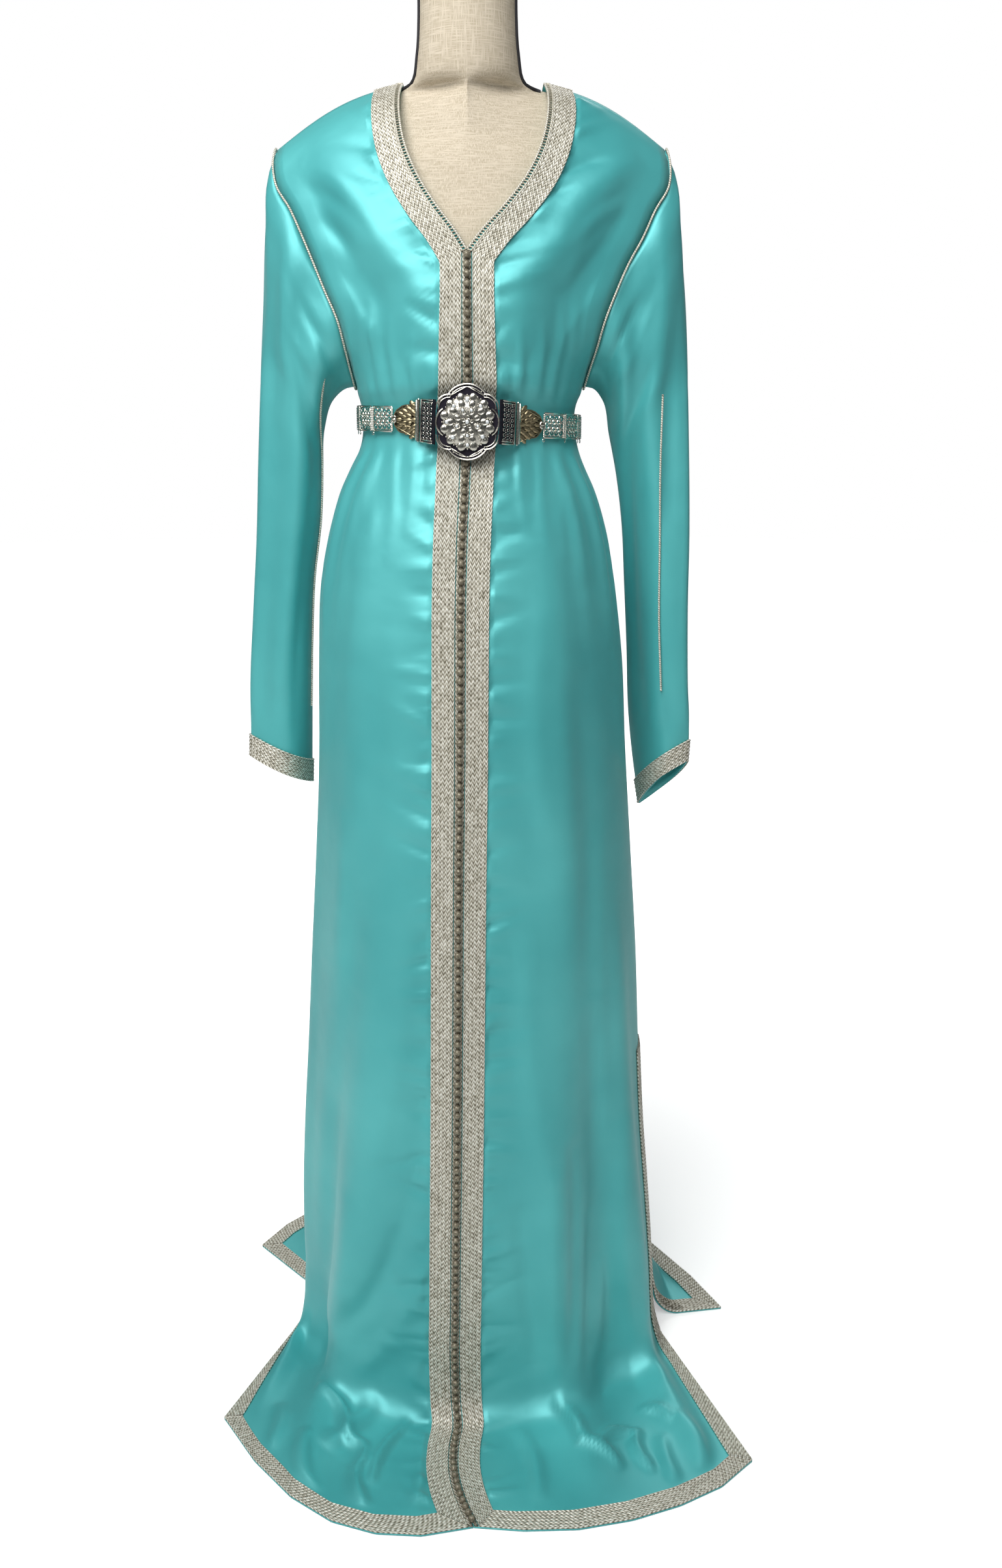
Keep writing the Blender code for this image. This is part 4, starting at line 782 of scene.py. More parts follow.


# %% [markdown]
# ## Creases
# Cloth simulation would settle this garment differently each time its rows change, so the creases that
# the photograph shows are placed one by one instead. Each is a soft ridge or trough with its own ends, bow,
# width and height, and it fades at both ends. Body creases are placed as seen from the front, and floor
# creases as seen from above. The back and sides get creases of the same kinds, though no view shows them.
# %% Creases placed one by one
# Each line is x, height, x, height, bow, half width, height of the ridge, all in metres.
BODY_CREASES = {
    "front_left": [
        (-0.131, 1.293, -0.114, 1.192, 0.004, 0.0068, -0.0023),
        (-0.120, 1.272, -0.108, 1.190, -0.003, 0.0061, 0.0019),
        (-0.112, 1.262, -0.101, 1.190, 0.002, 0.0047, -0.0016),
        (-0.103, 1.285, -0.093, 1.190, -0.004, 0.0057, 0.0018),
        (-0.094, 1.246, -0.085, 1.190, 0.003, 0.0049, -0.0015),
        (-0.083, 1.268, -0.075, 1.190, -0.003, 0.0054, 0.0016),
        (-0.072, 1.232, -0.064, 1.190, 0.002, 0.0046, -0.0014),
        (-0.058, 1.250, -0.054, 1.190, -0.002, 0.0049, 0.0014),
        (-0.047, 1.222, -0.045, 1.190, 0.001, 0.0041, -0.0011),
        (-0.117, 1.140, -0.128, 1.010, 0.005, 0.0081, 0.0018),
        (-0.109, 1.140, -0.122, 1.050, -0.004, 0.0064, -0.0015),
        (-0.100, 1.140, -0.112, 1.030, 0.004, 0.0072, 0.0015),
        (-0.091, 1.140, -0.101, 1.068, -0.003, 0.0058, -0.0013),
        (-0.082, 1.140, -0.088, 1.020, 0.005, 0.0075, 0.0014),
        (-0.071, 1.140, -0.076, 1.076, -0.002, 0.0055, -0.0011),
        (-0.060, 1.140, -0.066, 1.050, 0.003, 0.0064, 0.0012),
        (-0.048, 1.140, -0.050, 1.090, 0.001, 0.0049, -0.0010),
        (-0.152, 1.330, -0.108, 1.268, 0.006, 0.0093, -0.0022),
        (-0.146, 1.352, -0.100, 1.296, 0.006, 0.0090, 0.0019),
        (-0.160, 1.372, -0.118, 1.330, 0.004, 0.0078, -0.0015),
        (-0.138, 1.300, -0.098, 1.240, 0.004, 0.0075, 0.0014),
        (-0.176, 1.428, -0.090, 1.372, 0.008, 0.0120, 0.0020),
        (-0.168, 1.405, -0.104, 1.352, 0.006, 0.0080, -0.0018),
        (-0.084, 0.930, -0.094, 0.700, 0.010, 0.0160, 0.0030),
        (-0.126, 0.900, -0.140, 0.560, -0.010, 0.0140, -0.0030),
        (-0.070, 0.640, -0.112, 0.330, 0.012, 0.0170, 0.0034),
        (-0.150, 0.720, -0.164, 0.380, 0.006, 0.0120, 0.0028),
        (-0.052, 0.420, -0.100, 0.180, 0.008, 0.0130, -0.0032),
        (-0.038, 0.199, -0.098, 0.087, -0.004, 0.0150, 0.0058),
        (-0.098, 0.087, -0.146, 0.020, -0.003, 0.0140, 0.0050),
        (-0.086, 0.230, -0.160, 0.090, 0.010, 0.0130, -0.0046),
        (-0.150, 0.260, -0.182, 0.080, 0.008, 0.0110, 0.0034),
        (-0.059, 0.073, -0.078, 0.020, 0.000, 0.0060, 0.0030),
    ],
    "front_right": [
        (0.128, 1.292, 0.112, 1.192, -0.004, 0.0068, -0.0023),
        (0.118, 1.278, 0.106, 1.190, 0.003, 0.0062, 0.0019),
        (0.110, 1.255, 0.098, 1.190, -0.002, 0.0049, -0.0016),
        (0.100, 1.290, 0.091, 1.190, 0.004, 0.0059, 0.0019),
        (0.090, 1.240, 0.083, 1.190, -0.002, 0.0046, -0.0015),
        (0.080, 1.262, 0.073, 1.190, 0.003, 0.0054, 0.0016),
        (0.068, 1.236, 0.063, 1.190, -0.002, 0.0046, -0.0014),
        (0.056, 1.256, 0.053, 1.190, 0.002, 0.0049, 0.0015),
        (0.046, 1.218, 0.045, 1.190, 0.001, 0.0041, -0.0011),
        (0.115, 1.140, 0.128, 1.000, -0.005, 0.0081, 0.0018),
        (0.107, 1.140, 0.118, 1.058, 0.004, 0.0061, -0.0015),
        (0.098, 1.140, 0.108, 1.020, -0.004, 0.0072, 0.0015),
        (0.088, 1.140, 0.098, 1.074, 0.003, 0.0058, -0.0013),
        (0.079, 1.140, 0.086, 1.036, -0.004, 0.0070, 0.0014),
        (0.068, 1.140, 0.072, 1.082, 0.002, 0.0052, -0.0011),
        (0.057, 1.140, 0.062, 1.056, -0.003, 0.0061, 0.0012),
        (0.047, 1.140, 0.049, 1.096, 0.001, 0.0046, -0.0010),
        (0.158, 1.334, 0.112, 1.262, -0.006, 0.0096, -0.0022),
        (0.150, 1.358, 0.102, 1.300, -0.006, 0.0090, 0.0019),
        (0.164, 1.378, 0.120, 1.334, -0.004, 0.0078, -0.0015),
        (0.140, 1.298, 0.100, 1.238, -0.004, 0.0075, 0.0014),
        (0.180, 1.430, 0.094, 1.368, -0.008, 0.0120, 0.0020),
        (0.170, 1.402, 0.108, 1.350, -0.006, 0.0080, -0.0018),
        (0.080, 0.960, 0.086, 0.720, -0.008, 0.0150, 0.0030),
        (0.120, 0.880, 0.138, 0.520, 0.008, 0.0140, -0.0030),
        (0.066, 0.600, 0.092, 0.300, -0.010, 0.0150, 0.0034),
        (0.150, 0.700, 0.166, 0.300, -0.006, 0.0120, 0.0030),
        (0.122, 0.330, 0.122, 0.060, 0.004, 0.0085, -0.0055),
        (0.144, 0.240, 0.141, 0.030, 0.002, 0.0065, -0.0045),
        (0.158, 0.160, 0.158, 0.040, 0.000, 0.0065, 0.0042),
        (0.100, 0.300, 0.104, 0.030, -0.004, 0.0110, 0.0040),
        (0.186, 0.330, 0.198, 0.050, -0.004, 0.0120, 0.0036),
        (0.058, 0.260, 0.080, 0.060, -0.003, 0.0100, -0.0030),
    ],
    "back": [
        (-0.110, 1.300, -0.098, 1.192, 0.004, 0.0081, 0.0023),
        (-0.094, 1.262, -0.083, 1.190, -0.003, 0.0062, -0.0019),
        (-0.078, 1.290, -0.070, 1.190, 0.003, 0.0070, 0.0023),
        (-0.060, 1.250, -0.056, 1.190, 0.002, 0.0059, -0.0018),
        (-0.042, 1.280, -0.041, 1.190, -0.002, 0.0068, 0.0021),
        (-0.026, 1.240, -0.026, 1.190, 0.001, 0.0054, -0.0016),
        (-0.008, 1.300, -0.010, 1.190, 0.003, 0.0073, 0.0019),
        (0.010, 1.246, 0.008, 1.190, 0.001, 0.0057, -0.0018),
        (0.030, 1.286, 0.026, 1.190, -0.002, 0.0068, 0.0021),
        (0.050, 1.252, 0.044, 1.190, 0.002, 0.0059, -0.0018),
        (0.070, 1.296, 0.062, 1.190, -0.003, 0.0073, 0.0023),
        (0.090, 1.262, 0.080, 1.190, 0.003, 0.0062, -0.0019),
        (0.108, 1.292, 0.098, 1.190, -0.003, 0.0076, 0.0021),
        (-0.108, 1.136, -0.122, 1.010, 0.004, 0.0087, 0.0019),
        (-0.092, 1.136, -0.102, 1.060, -0.003, 0.0070, -0.0015),
        (-0.074, 1.136, -0.084, 0.990, 0.005, 0.0087, 0.0019),
        (-0.056, 1.136, -0.062, 1.066, -0.002, 0.0067, -0.0015),
        (-0.038, 1.136, -0.042, 1.000, 0.004, 0.0084, 0.0018),
        (-0.020, 1.136, -0.021, 1.070, 0.001, 0.0064, -0.0014),
        (-0.002, 1.136, -0.001, 0.980, -0.004, 0.0087, 0.0019),
        (0.016, 1.136, 0.019, 1.060, 0.002, 0.0064, -0.0014),
        (0.036, 1.136, 0.041, 1.010, -0.003, 0.0084, 0.0018),
        (0.056, 1.136, 0.064, 1.064, 0.002, 0.0067, -0.0015),
        (0.076, 1.136, 0.086, 0.996, -0.004, 0.0087, 0.0019),
        (0.096, 1.136, 0.108, 1.050, 0.003, 0.0070, -0.0015),
        (-0.150, 1.380, -0.060, 1.420, 0.010, 0.0100, 0.0026),
        (-0.160, 1.345, -0.070, 1.372, 0.010, 0.0090, -0.0026),
        (0.154, 1.384, 0.064, 1.424, -0.010, 0.0100, 0.0026),
        (0.164, 1.350, 0.072, 1.376, -0.010, 0.0090, -0.0026),
        (-0.150, 1.310, -0.096, 1.240, 0.006, 0.0070, -0.0036),
        (0.150, 1.306, 0.096, 1.236, -0.006, 0.0070, -0.0036),
        (-0.090, 0.960, -0.100, 0.560, 0.014, 0.0200, 0.0044),
        (-0.030, 0.900, -0.046, 0.420, -0.012, 0.0180, -0.0040),
        (0.036, 0.940, 0.030, 0.480, 0.012, 0.0200, 0.0044),
        (0.096, 0.880, 0.110, 0.400, -0.012, 0.0180, -0.0040),
        (-0.130, 0.500, -0.120, 0.140, 0.010, 0.0160, -0.0044),
        (-0.060, 0.420, -0.086, 0.080, -0.010, 0.0150, 0.0048),
        (0.010, 0.380, 0.000, 0.060, 0.008, 0.0140, -0.0044),
        (0.070, 0.440, 0.090, 0.080, 0.010, 0.0150, 0.0048),
        (0.140, 0.480, 0.150, 0.120, -0.008, 0.0160, -0.0044),
    ],
}
print("creases of the hanging cloth", sum(len(found) for found in BODY_CREASES.values()))

# %% Creases of the cloth on the floor
# On the floor the same numbers are x, y, x, y, and so on, seen from above.
FLOOR_CREASES = {
    "front_left": [
        (-0.120, -0.200, -0.168, -0.262, 0.004, 0.0130, 0.0095),
        (-0.078, -0.226, -0.112, -0.318, -0.008, 0.0058, 0.0081),
        (-0.184, -0.178, -0.150, -0.242, 0.010, 0.0080, 0.0101),
        (-0.150, -0.242, -0.124, -0.262, -0.004, 0.0080, 0.0101),
        (-0.124, -0.262, -0.131, -0.300, 0.005, 0.0076, 0.0095),
        (-0.131, -0.300, -0.116, -0.352, -0.004, 0.0076, 0.0088),
        (-0.168, -0.232, -0.142, -0.272, 0.004, 0.0060, -0.0027),
        (-0.052, -0.250, -0.060, -0.350, 0.004, 0.0080, 0.0049),
        (-0.196, -0.250, -0.176, -0.330, -0.008, 0.0100, 0.0078),
        (-0.232, -0.200, -0.236, -0.270, 0.006, 0.0100, 0.0068),
    ],
    "front_right": [
        (0.122, -0.214, 0.143, -0.267, -0.004, 0.0070, 0.0027),
        (0.104, -0.206, 0.130, -0.262, 0.006, 0.0076, 0.0086),
        (0.130, -0.262, 0.172, -0.296, 0.006, 0.0072, 0.0084),
        (0.152, -0.262, 0.198, -0.241, 0.010, 0.0066, 0.0089),
        (0.198, -0.241, 0.212, -0.300, -0.010, 0.0074, 0.0095),
        (0.206, -0.200, 0.240, -0.222, 0.006, 0.0070, 0.0081),
        (0.198, -0.246, 0.216, -0.312, 0.006, 0.0060, -0.0027),
        (0.060, -0.240, 0.078, -0.340, 0.006, 0.0090, 0.0049),
        (0.250, -0.220, 0.268, -0.296, 0.006, 0.0100, 0.0076),
        (0.226, -0.250, 0.236, -0.320, -0.004, 0.0080, 0.0065),
    ],
    "back": [
        (-0.110, 0.220, -0.150, 0.280, 0.006, 0.0120, 0.0095),
        (-0.030, 0.230, -0.050, 0.300, -0.006, 0.0100, 0.0081),
        (0.050, 0.228, 0.080, 0.292, 0.006, 0.0110, 0.0092),
        (0.140, 0.190, 0.186, 0.226, -0.006, 0.0110, 0.0089),
        (0.216, 0.110, 0.268, 0.120, 0.006, 0.0100, 0.0081),
        (-0.186, 0.180, -0.236, 0.208, 0.006, 0.0100, 0.0081),
        (-0.080, 0.240, -0.086, 0.310, 0.004, 0.0080, 0.0059),
        (0.010, 0.236, 0.020, 0.310, 0.004, 0.0080, 0.0059),
    ],
}
print("creases on the floor", sum(len(found) for found in FLOOR_CREASES.values()))


# %% Height of the creases at a place
def crease_height(places, creases):
    """Sum of the creases at flat places, which may be a whole grid of them."""
    total = np.zeros(places.shape[:-1])
    for x0, y0, x1, y1, bow, width, height in creases:
        start = np.array([x0, y0])
        way = np.array([x1 - x0, y1 - y0])
        reach = float(way @ way)
        sideways = np.array([-way[1], way[0]]) / math.sqrt(reach)
        share = (places - start) @ way / reach
        held = np.clip(share, 0, 1)
        line = start + held[..., None] * way + np.sin(math.pi * held)[..., None] * bow * sideways
        gap = np.linalg.norm(places - line, axis=-1)
        fade = np.sin(math.pi * np.clip((share + 0.10) / 1.20, 0, 1)) ** 0.6
        total += height * fade * np.exp(-(gap / width) ** 2)
    return total


# %% Small puckers where the satin is sewn to the stiff braid
PUCKER_PITCH = (0.013, 0.030)     # metres between them, least and most
PUCKER_REACH = (0.016, 0.052)     # how far each runs out from the braid
PUCKER_WIDTH = (0.0038, 0.0070)   # half of its width
PUCKER_HEIGHT = (0.0018, 0.0050)
PUCKERED = 1.75                   # metres of edge that get them, from the shoulder to the hem
SHOULDER_TOP = 1.52               # height from which distance down the garment is counted
FLOOR_START = 0.225               # metres from the middle at which the skirt has reached the floor
chance = np.random.default_rng(7)


def pucker_table(length):
    """Puckers along an edge: distance down it, reach, half width, height and slant."""
    found, place = [], 0.004
    while place < length:
        found.append((place, chance.uniform(*PUCKER_REACH), chance.uniform(*PUCKER_WIDTH),
                      chance.choice([-1, 1], p=[0.4, 0.6]) * chance.uniform(*PUCKER_HEIGHT),
                      chance.uniform(-0.4, 0.5)))
        place += chance.uniform(*PUCKER_PITCH)
    return found


def pucker_height(away, down, table):
    """Height at places that lie `away` from the braid's edge and `down` the garment along it."""
    total = np.zeros(away.shape)
    for place, reach, width, height, slant in table:
        near = np.abs(down[:, 0] - place) < 0.05
        gap = down[near] + slant * away[near] - place
        out = np.clip(away[near] / reach, 0, 1.4)
        total[near] += height * np.exp(-(gap / width) ** 2) * np.exp(-(out * 1.3) ** 2)
    return total


# %% [markdown]
# ## The panels
# A panel is a grid of points with the creases added along its normals. Solidify then gives it the
# thickness of satin with its facing. The outer side stays where the rows put it, so the trims fit.
# %% Helpers that make objects
SHELL = 0.0018                # metres: satin and facing together


def change_mesh(mesh, change):
    """Opens a mesh, lets a function change it, and writes it back."""
    shape = bmesh.new()
    shape.from_mesh(mesh)
    change(shape)
    shape.to_mesh(mesh)
    shape.free()


def turn_outward(shape):
    if shape.calc_volume(signed=True) < 0:
        bmesh.ops.reverse_faces(shape, faces=shape.faces)


def weld(shape):
    bmesh.ops.remove_doubles(shape, verts=shape.verts, dist=1e-6)


def weld_outward(shape):
    weld(shape)
    bmesh.ops.recalc_face_normals(shape, faces=shape.faces)


def mesh_object(name, points, faces, look, uv=None, uv_name="braid", change=turn_outward, smooth=True):
    """An object from points and faces, with a UV pair for each corner if uv gives them."""
    mesh = bpy.data.meshes.new(name)
    mesh.from_pydata([tuple(p) for p in np.reshape(points, (-1, 3))], [], faces)
    if uv is not None:
        mesh.uv_layers.new(name=uv_name).data.foreach_set("uv", np.array(uv, float).ravel())
    if change:
        change_mesh(mesh, change)
    mesh.materials.append(look)
    if smooth:
        mesh.shade_smooth()
    made = bpy.data.objects.new(name, mesh)
    bpy.context.scene.collection.objects.link(made)
    return made


def grid_object(name, points, normals, look, thickness=0.0, ring=False):
    """A mesh from a grid, with its own lengths as UV, and a thickness on its inner side."""
    rows, columns = points.shape[:2]
    flip = (grid_normals(points, ring) * normals).sum() < 0
    wide = np.concatenate([points, points[:, :1]], axis=1) if ring else points
    across = np.array([running(row) for row in wide])
    down = running(points.mean(axis=1))
    faces, flat = [], []
    for i in range(rows - 1):
        for j in range(columns if ring else columns - 1):
            k = (j + 1) % columns
            quad = (i * columns + j, i * columns + k, (i + 1) * columns + k, (i + 1) * columns + j)
            corners = [(across[i, j], down[i]), (across[i, j + 1], down[i]),
                       (across[i + 1, j + 1], down[i + 1]), (across[i + 1, j], down[i + 1])]
            faces.append(quad[::-1] if flip else quad)
            flat += corners[::-1] if flip else corners
    made = mesh_object(name, points, faces, look, flat, "cloth", None)
    if thickness:
        apply_solidify(made, thickness)
    return made


def apply_solidify(piece, thickness):
    """Gives a sheet its thickness, on the inner side only."""
    solid = piece.modifiers.new("thickness", "SOLIDIFY")
    solid.thickness = thickness
    solid.offset = -1
    clear_selection()
    bpy.context.view_layer.objects.active = piece
    piece.select_set(True)
    bpy.ops.object.modifier_apply(modifier=solid.name)
    piece.select_set(False)


def belongs(piece, slot, *nodes):
    """Rides the one body and hides the solids that it stands for. Its slot is not used."""
    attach(piece, "root")
    if nodes:
        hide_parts(*nodes)


def area_of(points):
    """Area of a grid of points in square metres."""
    a = np.cross(points[1:, 1:] - points[:-1, :-1], points[1:, :-1] - points[:-1, 1:])
    return float(np.linalg.norm(a, axis=-1).sum() / 2)


# %% Fine rows for both fronts and both halves of the back
ROW_STEP = 0.0056             # metres between fine rows
panel_rows, row_numbers = {}, {}
share_across = np.linspace(0, 1, DENSE)
row_counts = steps_between(np.array(half_rows(-1, -1)), ROW_STEP)
for face in (-1, 1):
    for side in (-1, 1):
        coarse = np.array(half_rows(face, side))
        sharp_row = EDGE_ROW if face < 0 else BACK_NECK
        corners = {sharp_row: np.clip(1 - share_across / 0.15, 0, 1),
                   UNDERARM: np.clip(1 - (1 - share_across) / 0.10, 0, 1)}
        fine, numbers = smooth_between(coarse, row_counts, corners)
        fine[..., 2] = np.maximum(fine[..., 2], CLOTH)
        panel_rows[(face, side)] = fine
        row_numbers[(face, side)] = numbers
print("fine rows", {k: len(v) for k, v in row_numbers.items()})


def panel_columns(rows, fixed, evenly, last):
    """Points across each row: fixed places from its first edge, even ones, and fixed ones at its last."""
    made, reach, totals = [], [], []
    for row in rows:
        total = length_of(row)
        middle = np.linspace(fixed[-1], total - last[0], evenly + 1)[1:]
        places = np.concatenate([fixed, middle, [total - d for d in last[1:]]])
        made.append(along(row, places))
        reach.append(places)
        totals.append(total)
    return np.array(made), np.array(reach), np.array(totals)


def outward(grid, face):
    """Unit normals that point away from the body."""
    away = grid.copy()
    away[..., 2] = 0
    return facing(grid_normals(grid), away)


def with_creases(grid, normals, name, face, reach, totals, numbers, puckers):
    """The grid with its creases, which fade out under the trims and at the seams."""
    floor_part = 1 - ease((grid[..., 2] - 0.016) / 0.05)
    front_view = np.stack([grid[..., 0], grid[..., 2]], axis=-1)
    plan = grid[..., :2]
    height = crease_height(front_view, BODY_CREASES[name]) * (1 - floor_part)
    height += crease_height(plan, FLOOR_CREASES[name]) * floor_part
    if face < 0:
        away = reach - (PICOT_WIDTH + BRAID_WIDTH)
        height *= ease((away + 0.001) / 0.012)
        past = np.maximum(0.0, np.linalg.norm(grid[..., :2], axis=-1) - FLOOR_START)
        down = SHOULDER_TOP - grid[..., 2] + past * floor_part
        height += pucker_height(np.maximum(away, 0), down, puckers) * ease(away / 0.003)
    from_side = totals[:, None] - reach
    slit = (numbers[:, None] >= SLIT_ROW - 0.5)
    free = np.where(slit, ease((from_side - BRAID_WIDTH) / 0.010), ease(from_side / 0.020))
    from_hem = (len(FRONT) + len(SKIRT) + len(TURN) - numbers[:, None])
    free *= ease((from_hem - 1.0) / 0.35)
    free *= ease(numbers[:, None] / 1.0)
    height *= free
    lying = grid[..., 2] < CLOTH + 0.0005
    height = np.where(lying, np.maximum(height, 0), height)
    moved = grid + normals * height[..., None]
    moved[..., 2] = np.maximum(moved[..., 2], CLOTH)
    return moved


# %% The two fronts
FRONT_FIXED = (0.0, 0.006, 0.0125, 0.0185, 0.025, 0.031, 0.0345, 0.038, 0.042)
LAST_FIXED = (0.025, 0.0125, 0.0)
panel_grids = {}
for side, word in SIDES:
    rows, numbers = panel_rows[(-1, side)], row_numbers[(-1, side)]
    grid, reach, totals = panel_columns(rows, FRONT_FIXED, 58, LAST_FIXED)
    grid[0, :, 1] -= SEAM
    grid[numbers >= EDGE_ROW, 0, 0] += side * SEAM
    grid[numbers >= UNDERARM, -1, 1] -= SEAM
    normals = outward(grid, -1)
    normals[0, :, 1] = 0
    normals = unit(normals)
    panel_grids[(-1, side)] = (grid, normals)
    creased = with_creases(grid, normals, "front_" + word, -1, reach, totals, numbers,
                           pucker_table(PUCKERED))
    piece = grid_object("satin_front_" + word, creased, normals, satin, SHELL)
    belongs(piece, "satin", "front_" + word)
    print(piece.name, "area", round(area_of(creased), 4), "triangles", 2 * len(piece.data.polygons))

# %% The back, in one piece
grids, reaches, totals_of, normals_of = {}, {}, {}, {}
for side in (-1, 1):
    rows, numbers = panel_rows[(1, side)], row_numbers[(1, side)]
    grid, reach, totals = panel_columns(rows, (0.0, 0.006, 0.0185, 0.031), 58, LAST_FIXED)
    grid[0, :, 1] += SEAM
    grid[numbers >= UNDERARM, -1, 1] += SEAM
    grids[side], reaches[side], totals_of[side] = grid, reach, totals
    normals_of[side] = outward(grid, 1)
below_neck = row_numbers[(1, 1)] >= BACK_NECK
middle = (grids[-1][below_neck, 0] + grids[1][below_neck, 0]) / 2
shared = unit(normals_of[-1][below_neck, 0] + normals_of[1][below_neck, 0])
halves = []
for side in (-1, 1):
    grids[side][below_neck, 0] = middle
    normals_of[side][below_neck, 0] = shared
    panel_grids[(1, side)] = (grids[side], normals_of[side])
    creased = with_creases(grids[side], normals_of[side], "back", 1, reaches[side],
                           totals_of[side], row_numbers[(1, side)], None)
    halves.append(creased)
    half = grid_object("satin_back_half_%d" % side, creased, normals_of[side], satin)
    half.select_set(True)
    bpy.context.view_layer.objects.active = half
bpy.ops.object.join()
satin_back = bpy.context.object
satin_back.name = "satin_back"
satin_back.select_set(False)
change_mesh(satin_back.data, weld)
apply_solidify(satin_back, SHELL)
belongs(satin_back, "satin", "back")
back_area = sum(area_of(half) for half in halves)
print("back area", round(back_area, 4), "triangles", 2 * len(satin_back.data.polygons))

# %% [markdown]
# ## Sleeves
# A sleeve starts on the armhole's own loop and turns into a flattened tube. Its creases are placed by
# how far round and how far down they run, because a sleeve is seen from all sides.
# %% The sleeves' rings, as the solids have them
coarse_edges = {}
for face in (-1, 1):
    for side in (-1, 1):
        coarse = half_rows(face, side)
        fixed = (0.0, 0.006, 0.0185, 0.031) if face < 0 else (0.0, 0.015, 0.031)
        grid, _, _ = panel_columns(coarse, fixed, 8 if face < 0 else 6, (0.025, 0.0))
        grid[0, :, 1] += face * SEAM
        grid[UNDERARM:, -1, 1] += face * SEAM
        normals = outward(grid, face)
        normals[0, :, 1] = 0
        normals[UNDERARM:, -1, 1] = 0
        coarse_edges[(face, side)] = (grid[:, -1], unit(normals)[:, -1])
def armhole_loop(side):
    """The armhole's points and normals: underarm, up the front, over the shoulder, down the back."""
    front, front_normals = coarse_edges[(-1, side)]
    back, back_normals = coarse_edges[(1, side)]
    order = list(range(UNDERARM - 1, 0, -1))
    points = [(front[UNDERARM] + back[UNDERARM]) / 2] + [front[i] for i in order]
    points += [(front[0] + back[0]) / 2] + [back[i] for i in reversed(order)]
    leans = [front_normals[UNDERARM]] + [front_normals[i] for i in order]
    leans += [front_normals[0]] + [back_normals[i] for i in reversed(order)]
    return np.array(points), unit(np.array(leans))


def sleeve_rings(side, table):
    """Rings of points down a sleeve: the armhole's own shape first, fading into flattened rings."""
    loop, leans = armhole_loop(side)
    around = len(loop)
    wide = wrapped(loop)
    away = unit(np.cross(wide[2:] - wide[:-2], leans))
    if (away[:, 0] * side).sum() < 0:
        away = -away
    first = loop + away * ARMHOLE_GAP
    inner = np.array([(side * row[0], row[1], row[2]) for row in table])
    outer = np.array([(side * row[3], row[4], row[5]) for row in table])
    middle = (inner + outer) / 2
    down = unit(np.gradient(middle, axis=0))
    step = np.arange(around)
    up = np.where(step <= around // 2, step, around - step) / (around // 2)
    even = (1 - np.cos(math.pi * up)) / 2
    chord = outer[0] - inner[0]
    share0 = (loop - inner[0]) @ chord / (chord @ chord)
    bulge0 = first - (inner[0] + share0[:, None] * chord)
    reach = running(middle)
    rings = []
    for i, row in enumerate(table):
        ridge, front, back = row[6:]
        fade = min(1.0, reach[i] / (SLEEVE_BLEND * reach[-1]))
        fade = ease(fade)
        share = share0 * (1 - fade) + even * fade
        face_way = unit(np.cross(outer[i] - inner[i], down[i]))
        if face_way[1] > 0:
            face_way = -face_way
        rise = np.where(share < ridge, share / ridge, (1 - share) / (1 - ridge))
        rise = np.sin(np.clip(rise, 0, 1) * math.pi / 2) ** 0.8
        swell = np.sin(np.clip(share, 0, 1) * math.pi) ** 0.75
        depth = np.where(step <= around // 2, front * rise, -back * swell)
        bulge = bulge0 * (1 - fade) + face_way * (depth * fade)[:, None]
        rings.append(inner[i] + share[:, None] * (outer[i] - inner[i]) + bulge)
    rings = np.array(rings)
    rings[0] = first
    normals = facing(grid_normals(rings, ring=True), rings - rings.mean(axis=1, keepdims=True))
    normals[0] = leans
    return rings, normals, loop


